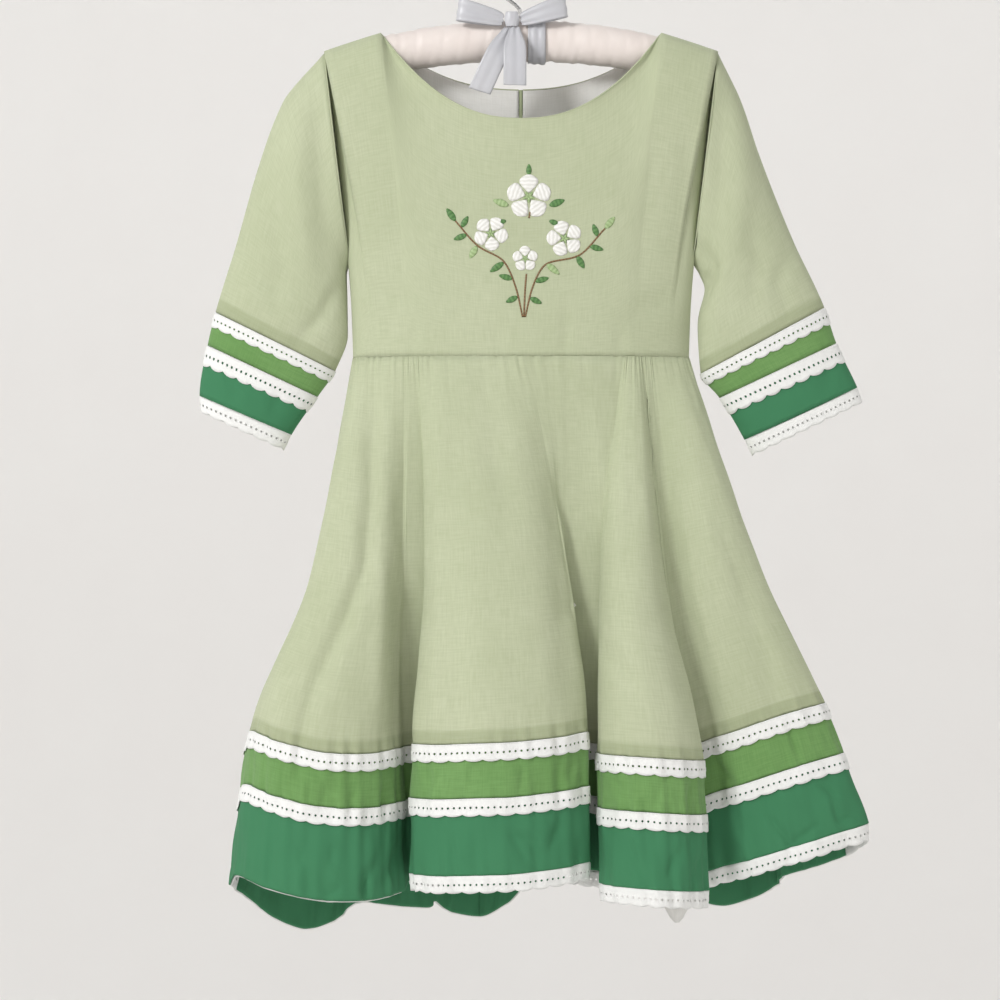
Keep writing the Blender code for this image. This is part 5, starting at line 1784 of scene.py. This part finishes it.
@dataclass
class Embroidery:
    """A spray of white blossoms with leaves on thin stems, worked in satin stitch on the chest.

    Attributes:
        ground: The cloth that it is worked on.
        parts: The points, cloth lengths and faces of each patch of stitches, by thread.
        thickness: The thread's.
    """

    ground: bpy.types.Object
    parts: dict[Finish, list[Patch]] = field(default_factory=dict)
    thickness: float = 0.0003

    def __post_init__(self) -> None:
        """Prepares the cloth for finding its face."""
        mesh = self.ground.data
        verts = [v.co.copy() for v in mesh.vertices]
        self.tree = BVHTree.FromPolygons(verts, [tuple(p.vertices) for p in mesh.polygons])

    def on_cloth(self, x: float, z: float, raised: float) -> tuple[float, float, float]:
        """The point over the cloth's face at (x, z), in millimetres, raised off it."""
        hit, normal, _, _ = self.tree.ray_cast(Vector((x * MM, -0.2, z * MM)), Vector((0, 1, 0)))
        if normal.y > 0:
            normal = -normal
        return tuple(hit + normal * (0.00035 + raised * MM))

    def stitch(self, outline: Sequence[tuple[float, float]], middle: Sequence[tuple[float, float]],
               finish: Finish, raised: float) -> None:
        """Fills a shape with satin stitch.

        Args:
            outline: One side of the shape, from its root to its tip, as (x, z) in millimetres.
            middle: The same for its other side.
            finish: The thread.
            raised: How far the stitches stand up in the middle, in millimetres.
        """
        left, right = np.array(outline, float), np.array(middle, float)
        steps = 7
        along = np.linalg.norm(left[-1] - left[0]) / len(left)
        points, lengths = [], []
        for i, (a, b) in enumerate(zip(left, right)):
            end = math.sin(math.pi * min(1, (i + 0.4) / (len(left) - 0.2)))
            for t in (j / (steps - 1) for j in range(steps)):
                x, z = a + (b - a) * t
                points.append(self.on_cloth(x, z, raised * math.sin(math.pi * t) ** 0.6 * end**0.3))
                lengths.append((t * np.linalg.norm(b - a) * MM, i * along * MM))
        faces = grid_faces(len(left), steps, False)
        self.parts.setdefault(finish, []).append((np.array(points), np.array(lengths), faces))

    def leaf(self, x: float, z: float, angle: float, length: float, width: float, finish: Finish,
             raised: float = 0.5, belly: float = 0.45) -> None:
        """Works a leaf or petal.

        Args:
            x: Its root, across.
            z: Its root, up.
            angle: Which way it points, in degrees from the right.
            length: Its length, in millimetres.
            width: Its width.
            finish: The thread.
            raised: How far it stands up.
            belly: Where it is widest, as a share of its length.
        """
        way = np.array([math.cos(math.radians(angle)), math.sin(math.radians(angle))])
        across = np.array([-way[1], way[0]])
        one, other = [], []
        for share in np.linspace(0.02, 0.98, 13):
            bent = share ** (math.log(0.5) / math.log(belly))
            half = width / 2 * math.sin(math.pi * bent) ** 0.75
            root = np.array([x, z]) + way * length * share
            one.append(root + across * half)
            other.append(root - across * half)
        self.stitch(one, other, finish, raised)

    def blossom(self, x: float, z: float, size: float, turn: float, petals: int = 5) -> None:
        """Works a blossom of rounded petals round a knotted middle."""
        for i in range(petals):
            angle = turn + 360 / petals * i
            way = math.radians(angle)
            root = (x + size * 0.10 * math.cos(way), z + size * 0.10 * math.sin(way))
            self.leaf(*root, angle, size * 0.5, size * 0.50, Finish.WHITE_THREAD, 0.7, 0.62)
        for i in range(petals):
            angle = turn + 360 / petals * (i + 0.5)
            self.leaf(x, z, angle, size * 0.16, size * 0.07, Finish.PALE_THREAD, 0.9)

    def stem(self, points: Sequence[tuple[float, float]], width: float = 0.9) -> None:
        """Works a stem in stem stitch along points."""
        path = np.array(points, float)
        knots = np.arange(len(path))
        fine = curve_through(knots, path, np.linspace(0, len(path) - 1, len(path) * 8))
        way = unit(np.gradient(fine, axis=0))
        across = np.stack([-way[:, 1], way[:, 0]], axis=-1) * width / 2
        self.stitch(fine + across, fine - across, Finish.BROWN_THREAD, 0.35)

    def build(self) -> None:
        """Works the whole spray."""
        self.blossom(6, -197, 30, 90)
        self.blossom(-24, -226, 23, 60)
        self.blossom(34, -230, 24, 105)
        self.blossom(3, -246, 17, 20)
        sprays = (
            ((1, -292), (-4, -270), (-14, -248), (-34, -236), (-52, -216)),
            ((3, -292), (9, -268), (20, -250), (44, -244), (66, -222)),
            ((2, -292), (3, -270), (4, -258)),
            ((6, -214), (7, -209)),
        )
        for spray in sprays:
            self.stem(spray)
        leaves = (
            (-52, -216, 125, 12, 5), (-47, -221, 60, 10, 4.5), (-43, -227, 200, 11, 4.5),
            (-35, -236, 240, 11, 5), (-14, -249, 215, 13, 5), (-7, -262, 165, 11, 4.5),
            (-3, -276, 205, 10, 4.5), (66, -222, 50, 12, 5), (60, -228, 110, 10, 4.5),
            (54, -236, 345, 11, 4.5), (44, -244, 300, 11, 5), (20, -250, 320, 13, 5),
            (11, -264, 15, 11, 4.5), (7, -277, 335, 10, 4.5), (22, -204, 20, 13, 5.5),
            (-10, -204, 160, 13, 5.5), (-12, -216, 195, 9, 4), (22, -216, 340, 9, 4),
            (6, -180, 90, 9, 4),
        )
        for i, (x, z, angle, length, width) in enumerate(leaves):
            finish = Finish.PALE_THREAD if i % 4 == 3 else Finish.GREEN_THREAD
            self.leaf(x, z, angle, length, width, finish)
        names = {
            Finish.WHITE_THREAD: "blossoms", Finish.GREEN_THREAD: "green_leaves",
            Finish.PALE_THREAD: "pale_leaves", Finish.BROWN_THREAD: "stems",
        }
        for finish, shapes in self.parts.items():
            self.join(f"embroidered_{names[finish]}", shapes, finish)

    def join(self, name: str, shapes: Sequence[Patch], finish: Finish) -> None:
        """Makes one object of all the stitches in one thread."""
        faces, first = [], 0
        for shape_points, _, shape_faces in shapes:
            faces += [tuple(i + first for i in face) for face in shape_faces]
            first += len(shape_points)
        points, lengths = (np.concatenate([shape[i] for shape in shapes]) for i in (0, 1))
        corners = [lengths[i] for face in faces for i in face]
        add_wall(add_piece(name, new_mesh(name, points, faces, corners), finish), self.thickness, -1.0)
        log.info("%s: %d faces", name, len(faces))


@dataclass
class Zip:
    """The closed coil in the centre-back opening.

    Attributes:
        width: The tape's, in metres.
        tooth: From one tooth to the next.
        half_tooth: Half a tooth's size across, through and up.
        lean: How far each tooth stands to its own side.
        start: From the neckline to the first tooth.
        below_waist: How far the zip runs down the skirt.
    """

    width: float = 0.0030
    tooth: float = 0.00135
    half_tooth: tuple[float, float, float] = (0.0010, 0.00035, 0.00042)
    lean: float = 0.0004
    start: float = 0.004
    below_waist: float = 0.064

    def build(self, skirt: SkirtForm, bodice: Bodice) -> None:
        """Builds the tape and the coil's teeth.

        Args:
            skirt: The skirt's form, for the seam below the waist.
            bodice: The bodice, for the line above it.
        """
        back = bodice.form.grid(1, bodice.chest_back, WAIST_BACK, [0.0], 60)[:, 0]
        below = skirt.surface(
            Seam.BACK.value + np.array([-0.02, 0.0, 0.02]),
            lambda length: [length * 0 + d for d in np.linspace(0, self.below_waist, 20)],
        )[:, 1]
        line = np.concatenate([back, below[1:]])
        length = reach_along(line)
        block = [(dx, dy, dz) for dz in (-1, 1) for dx, dy in ((-1, -1), (1, -1), (1, 1), (-1, 1))]
        sides = ((3, 2, 1, 0), (4, 5, 6, 7), (0, 1, 5, 4), (1, 2, 6, 5), (2, 3, 7, 6), (3, 0, 4, 7))
        points, faces = [], []
        for i, at in enumerate(np.arange(self.start, length[-1], self.tooth)):
            middle = np.array([np.interp(at, length, line[:, axis]) for axis in range(3)])
            middle += (self.lean if i % 2 else -self.lean, 0.0002, 0.0)
            faces += [tuple(len(points) + corner for corner in side) for side in sides]
            points += [tuple(middle + np.array(corner) * self.half_tooth) for corner in block]
        mesh = bpy.data.meshes.new("zip_coil")
        mesh.from_pydata(points, [], faces)
        soft = add_piece("zip_coil", mesh, Finish.COIL).modifiers.new("soft", "BEVEL")
        soft.width = 0.00018
        soft.segments = 2
        edges = [line + np.array([x, -0.0005, 0]) for x in (self.width / 2, 0, -self.width / 2)]
        tape = Shell("zip_tape", np.stack(edges, axis=1), Finish.COIL, thickness=0.0005).build()
        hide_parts("zip_chain")
        log.info("zip: %.0f mm", length[-1] / MM)


FRONT_SKIRT_CREASES = (
    Crease((
        (-118, -345), (-119, -452), (-122, -488), (-133, -518), (-145, -547), (-160, -576), (-169, -610),
        (-172, -645),
    ), 5.8, 8.0),
    Crease(((-134, -350), (-146, -412), (-160, -483), (-186, -561), (-200, -625)), -3.4, 13.0),
    Crease(((-98, -500), (-97, -563), (-100, -625)), 3.3, 6.0),
    Crease(((-109, -480), (-112, -600)), -2.7, 6.0),
    Crease(((-64, -340), (-65, -482), (-69, -640)), -2.4, 7.0),
    Crease(((-50, -520), (-52, -610), (-55, -680)), 2.0, 8.0),
    Crease(((-30, -335), (-20, -400), (-8, -470)), 2.1, 12.0),
    Crease(((49, -517), (26, -526)), 2.4, 5.0),
    Crease(((15, -380), (28, -450), (33, -520), (36, -600)), 2.0, 9.0),
    Crease(((58, -548), (74, -560), (91, -584)), 2.7, 6.0),
    Crease(((86, -360), (88, -420), (84, -500)), 1.8, 8.0),
    Crease(((110, -350), (122, -410), (136, -480)), 2.2, 9.0),
    Crease(((140, -373), (159, -452), (187, -546), (213, -630)), 3.3, 11.0),
    Crease(((125, -340), (146, -400), (170, -470)), -2.7, 9.0),
    Crease(((176, -600), (190, -660), (196, -700)), 2.4, 9.0),
    Crease(((-205, -650), (-190, -690), (-196, -725)), 2.2, 8.0),
    Crease(((-150, -655), (-148, -690)), 1.7, 7.0),
    Crease(((-10, -690), (8, -700), (16, -712)), 2.1, 5.0),
    Crease(((30, -640), (26, -670)), 1.5, 6.0),
    Crease(((95, -665), (102, -690), (100, -715)), 2.0, 6.0),
    Crease(((225, -600), (232, -640)), 1.8, 6.0),
)
BAND_CREASES = (
    Crease(((209, -612), (214, -628), (221, -647)), 2.2, 2.6),
    Crease(((156, -645), (165, -660)), 2.1, 3.0),
    Crease(((193, -684), (202, -694), (211, -706), (210, -722)), 2.5, 3.2),
    Crease(((233, -690), (222, -698), (211, -707)), 2.2, 3.0),
    Crease(((234, -659), (247, -669)), 2.4, 3.0),
    Crease(((243, -671), (249, -688), (260, -685)), 2.2, 3.0),
    Crease(((170, -696), (178, -720)), -1.8, 5.0),
    Crease(((-179, -650), (-180, -670)), 2.0, 3.0),
    Crease(((-164, -655), (-165, -671)), 2.0, 3.0),
    Crease(((-151, -654), (-154, -679)), 2.2, 3.0),
    Crease(((-142, -660), (-143, -679)), -2.0, 3.5),
    Crease(((-128, -656), (-130, -676)), 1.8, 3.0),
    Crease(((-106, -656), (-109, -680)), 2.2, 3.2),
    Crease(((-170, -703), (-171, -718)), 1.8, 3.5),
    Crease(((-146, -702), (-147, -718)), 1.8, 3.5),
    Crease(((-112, -713), (-122, -737), (-117, -747)), 2.7, 4.0),
    Crease(((-95, -705), (-99, -718), (-105, -732)), 2.4, 4.0),
    Crease(((-152, -744), (-140, -734)), 2.0, 4.0),
    Crease(((-72, -640), (-70, -660)), 1.8, 3.0),
    Crease(((-40, -642), (-41, -662)), 1.7, 3.0),
    Crease(((2, -640), (0, -658)), 1.8, 3.0),
    Crease(((40, -636), (36, -656)), 2.1, 3.4),
    Crease(((-58, -690), (-52, -716)), 2.0, 4.0),
    Crease(((-8, -692), (2, -712)), 2.1, 4.0),
    Crease(((30, -684), (22, -706)), 2.0, 4.0),
    Crease(((46, -696), (44, -720)), 1.8, 3.5),
    Crease(((74, -650), (76, -668)), 2.0, 3.0),
    Crease(((106, -654), (104, -674)), 1.8, 3.0),
    Crease(((132, -652), (128, -672)), 2.1, 3.4),
    Crease(((84, -700), (92, -726)), 2.2, 4.0),
    Crease(((122, -704), (112, -728)), 2.2, 4.0),
    Crease(((138, -712), (134, -730)), 2.0, 3.5),
)
BACK_SKIRT_CREASES = (
    Crease(((150, -345), (162, -430), (178, -540), (186, -640)), 3.6, 10.0),
    Crease(((104, -350), (106, -450), (110, -560)), -2.7, 8.0),
    Crease(((62, -340), (70, -440), (72, -560), (66, -650)), 3.0, 9.0),
    Crease(((-8, -400), (-18, -500), (-30, -640)), 2.7, 10.0),
    Crease(((-92, -345), (-104, -450), (-128, -560), (-150, -640)), 3.0, 10.0),
    Crease(((-120, -360), (-142, -450), (-178, -560)), -3.0, 9.0),
    Crease(((-60, -520), (-84, -600)), 2.0, 7.0),
    Crease(((-180, -680), (-172, -715)), 2.0, 7.0),
    Crease(((150, -690), (158, -720)), 1.8, 6.0),
    Crease(((62, -680), (70, -715)), 1.8, 6.0),
)
FRONT_BODICE_CREASES = (
    Crease(((37, -287), (34, -322)), 1.4, 4.0),
    Crease(((-134, -150), (-130, -205), (-124, -258)), 1.4, 9.0),
    Crease(((136, -140), (130, -200), (124, -262)), 1.8, 9.0),
    Crease(((-92, -150), (-86, -205), (-92, -262)), 0.8, 12.0),
    Crease(((-44, -140), (-50, -190), (-42, -250)), 0.5, 14.0),
    Crease(((-128, -262), (-104, -276), (-84, -280)), 1.5, 6.0),
    Crease(((128, -268), (100, -284), (84, -292)), 1.6, 6.0),
    Crease(((-20, -300), (-16, -322)), 1.1, 5.0),
    Crease(((-84, -292), (-88, -322)), 1.1, 6.0),
    Crease(((76, -300), (80, -322)), 1.2, 5.0),
    Crease(((84, -150), (92, -200), (82, -262)), 0.9, 12.0),
)
BACK_BODICE_CREASES = (
    Crease(((-112, -110), (-116, -190), (-110, -260)), 2.4, 9.0),
    Crease(((110, -112), (114, -190), (108, -250)), 2.4, 9.0),
    Crease(((-50, -130), (-46, -210), (-56, -290)), 1.2, 11.0),
    Crease(((54, -140), (48, -220), (58, -300)), 1.2, 11.0),
    Crease(((-120, -268), (-90, -284)), 1.6, 6.0),
    Crease(((122, -266), (92, -286)), 1.6, 6.0),
    Crease(((-24, -296), (-28, -322)), 1.1, 5.0),
    Crease(((36, -300), (32, -322)), 1.1, 5.0),
)
LEFT_SLEEVE_CREASES = (
    Crease(((-160, -110), (-158, -180), (-152, -250)), 2.8, 9.0),
    Crease(((-176, -120), (-178, -190), (-168, -260)), -2.0, 9.0),
    Crease(((-143, -262), (-158, -290), (-178, -312)), 2.8, 6.0),
    Crease(((-222, -240), (-200, -262), (-180, -268)), 1.7, 7.0),
    Crease(((-196, -210), (-190, -250), (-196, -285)), 1.8, 8.0),
    Crease(((-232, -330), (-226, -356)), 1.3, 5.0),
    Crease(((-192, -350), (-198, -368)), 1.1, 5.0),
)
RIGHT_SLEEVE_CREASES = (
    Crease(((160, -110), (158, -180), (152, -235)), 2.8, 9.0),
    Crease(((140, -230), (152, -252), (146, -276)), 4.2, 6.0),
    Crease(((172, -110), (178, -180), (170, -240)), -1.7, 9.0),
    Crease(((214, -238), (204, -264), (212, -290)), 2.0, 7.0),
    Crease(((180, -215), (188, -250), (182, -290)), 1.8, 8.0),
    Crease(((158, -300), (172, -316), (190, -320)), 1.8, 6.0),
    Crease(((246, -326), (242, -352)), 1.3, 5.0),
    Crease(((200, -346), (206, -366)), 1.1, 5.0),
)


@dataclass
class Studio:
    """A pale round studio with soft lights, and the camera."""

    floor_z: float = -2.2
    flat_radius: float = 3.8
    sweep: float = 1.4
    wall: float = 4.0
    distance: float = 2.2
    view_width: float = 0.8
    view_x: float = -0.0168
    view_z: float = -0.436

    def build(self) -> None:
        """Builds the floor, the lights and the camera."""
        profile = [(0.0, self.floor_z), (self.flat_radius, self.floor_z)]
        for i in range(1, 13):
            angle = math.pi / 2 * i / 12
            profile.append((
                self.flat_radius + self.sweep * math.sin(angle),
                self.floor_z + self.sweep * (1 - math.cos(angle)),
            ))
        profile.append((self.flat_radius + self.sweep, self.floor_z + self.sweep + self.wall))
        around = 96
        verts = []
        for radius, z in profile:
            for j in range(around):
                angle = 2 * math.pi * j / around
                verts.append((radius * math.cos(angle), radius * math.sin(angle), z))
        faces = grid_faces(len(profile), around, True, True)
        floor = bpy.data.objects.new("studio_floor", new_mesh("studio_floor", np.array(verts), faces))
        bpy.context.scene.collection.objects.link(floor)
        floor.data.materials.append(Finish.PAPER.material())
        self.lights()
        self.camera()

    def lamp(
        self, name: str, place: Sequence[float], target: Sequence[float], size: float, power: float
    ) -> None:
        """Hangs a round soft lamp.

        Args:
            name: The lamp's name.
            place: Where it hangs, in metres.
            target: What it is turned to.
            size: How wide it is, in metres.
            power: In watts.
        """
        lamp = bpy.data.lights.new(name, "AREA")
        lamp.shape = "DISK"
        lamp.size = size
        lamp.energy = power
        obj = bpy.data.objects.new(name, lamp)
        bpy.context.scene.collection.objects.link(obj)
        obj.location = place
        obj.rotation_euler = (Vector(target) - Vector(place)).to_track_quat("-Z", "Y").to_euler()

    def lights(self) -> None:
        """Sets a soft key from the upper left, a weak fill, a back light, wall lamps and an even sky."""
        for name, place, size, power in (
            ("key", (-1.9, -2.2, 1.2), 0.9, 60.0),
            ("fill", (2.4, -2.0, 0.1), 2.4, 7.0),
            ("back", (0.4, 2.6, 1.4), 2.4, 14.0),
        ):
            self.lamp(name, place, (0.0, 0.0, -0.42), size, power)
        wall = self.flat_radius + self.sweep
        for i in range(6):
            angle = math.radians(30 + 60 * i)
            x, y = math.cos(angle), math.sin(angle)
            self.lamp(f"wall_{i}", (2.2 * x, 2.2 * y, 2.2), (wall * x, wall * y, -0.8), 2.0, 27.0 - 5.0 * x)
        world = bpy.data.worlds.new("studio_air")
        world.use_nodes = True
        sky = world.node_tree.nodes["Background"]
        sky.inputs["Color"].default_value = linear("fafafa")
        sky.inputs["Strength"].default_value = 0.34
        bpy.context.scene.world = world

    def camera(self) -> None:
        """Sets a level camera square to the front, as in the photograph."""
        lens = bpy.data.cameras.new("camera")
        lens.sensor_width = 36.0
        lens.lens = 36.0 * self.distance / self.view_width
        lens.dof.use_dof = False
        obj = bpy.data.objects.new("camera", lens)
        bpy.context.scene.collection.objects.link(obj)
        obj.location = (self.view_x, -self.distance, self.view_z)
        obj.rotation_euler = (math.pi / 2, 0, 0)
        bpy.context.scene.camera = obj
        bpy.context.scene.view_settings.view_transform = "Standard"


def main() -> None:
    """Builds the studio, then the dress and its hanger from the skirt up."""
    logging.basicConfig(level=logging.INFO, format="%(name)s: %(message)s")
    Studio().build()
    skirt_form = SkirtForm(front_creases=FRONT_SKIRT_CREASES + BAND_CREASES, back_creases=BACK_SKIRT_CREASES)
    Skirt(skirt_form).build()
    bodice = Bodice(BodiceForm(), FRONT_BODICE_CREASES, BACK_BODICE_CREASES)
    front = bodice.build()
    Sleeve("left", LEFT_SLEEVE, LEFT_SLEEVE_CREASES).build()
    Sleeve("right", RIGHT_SLEEVE, RIGHT_SLEEVE_CREASES).build()
    Hanger().build()
    Zip().build(skirt_form, bodice)
    Embroidery(front).build()
    bpy.context.view_layer.update()


if __name__ == "__main__":
    main()
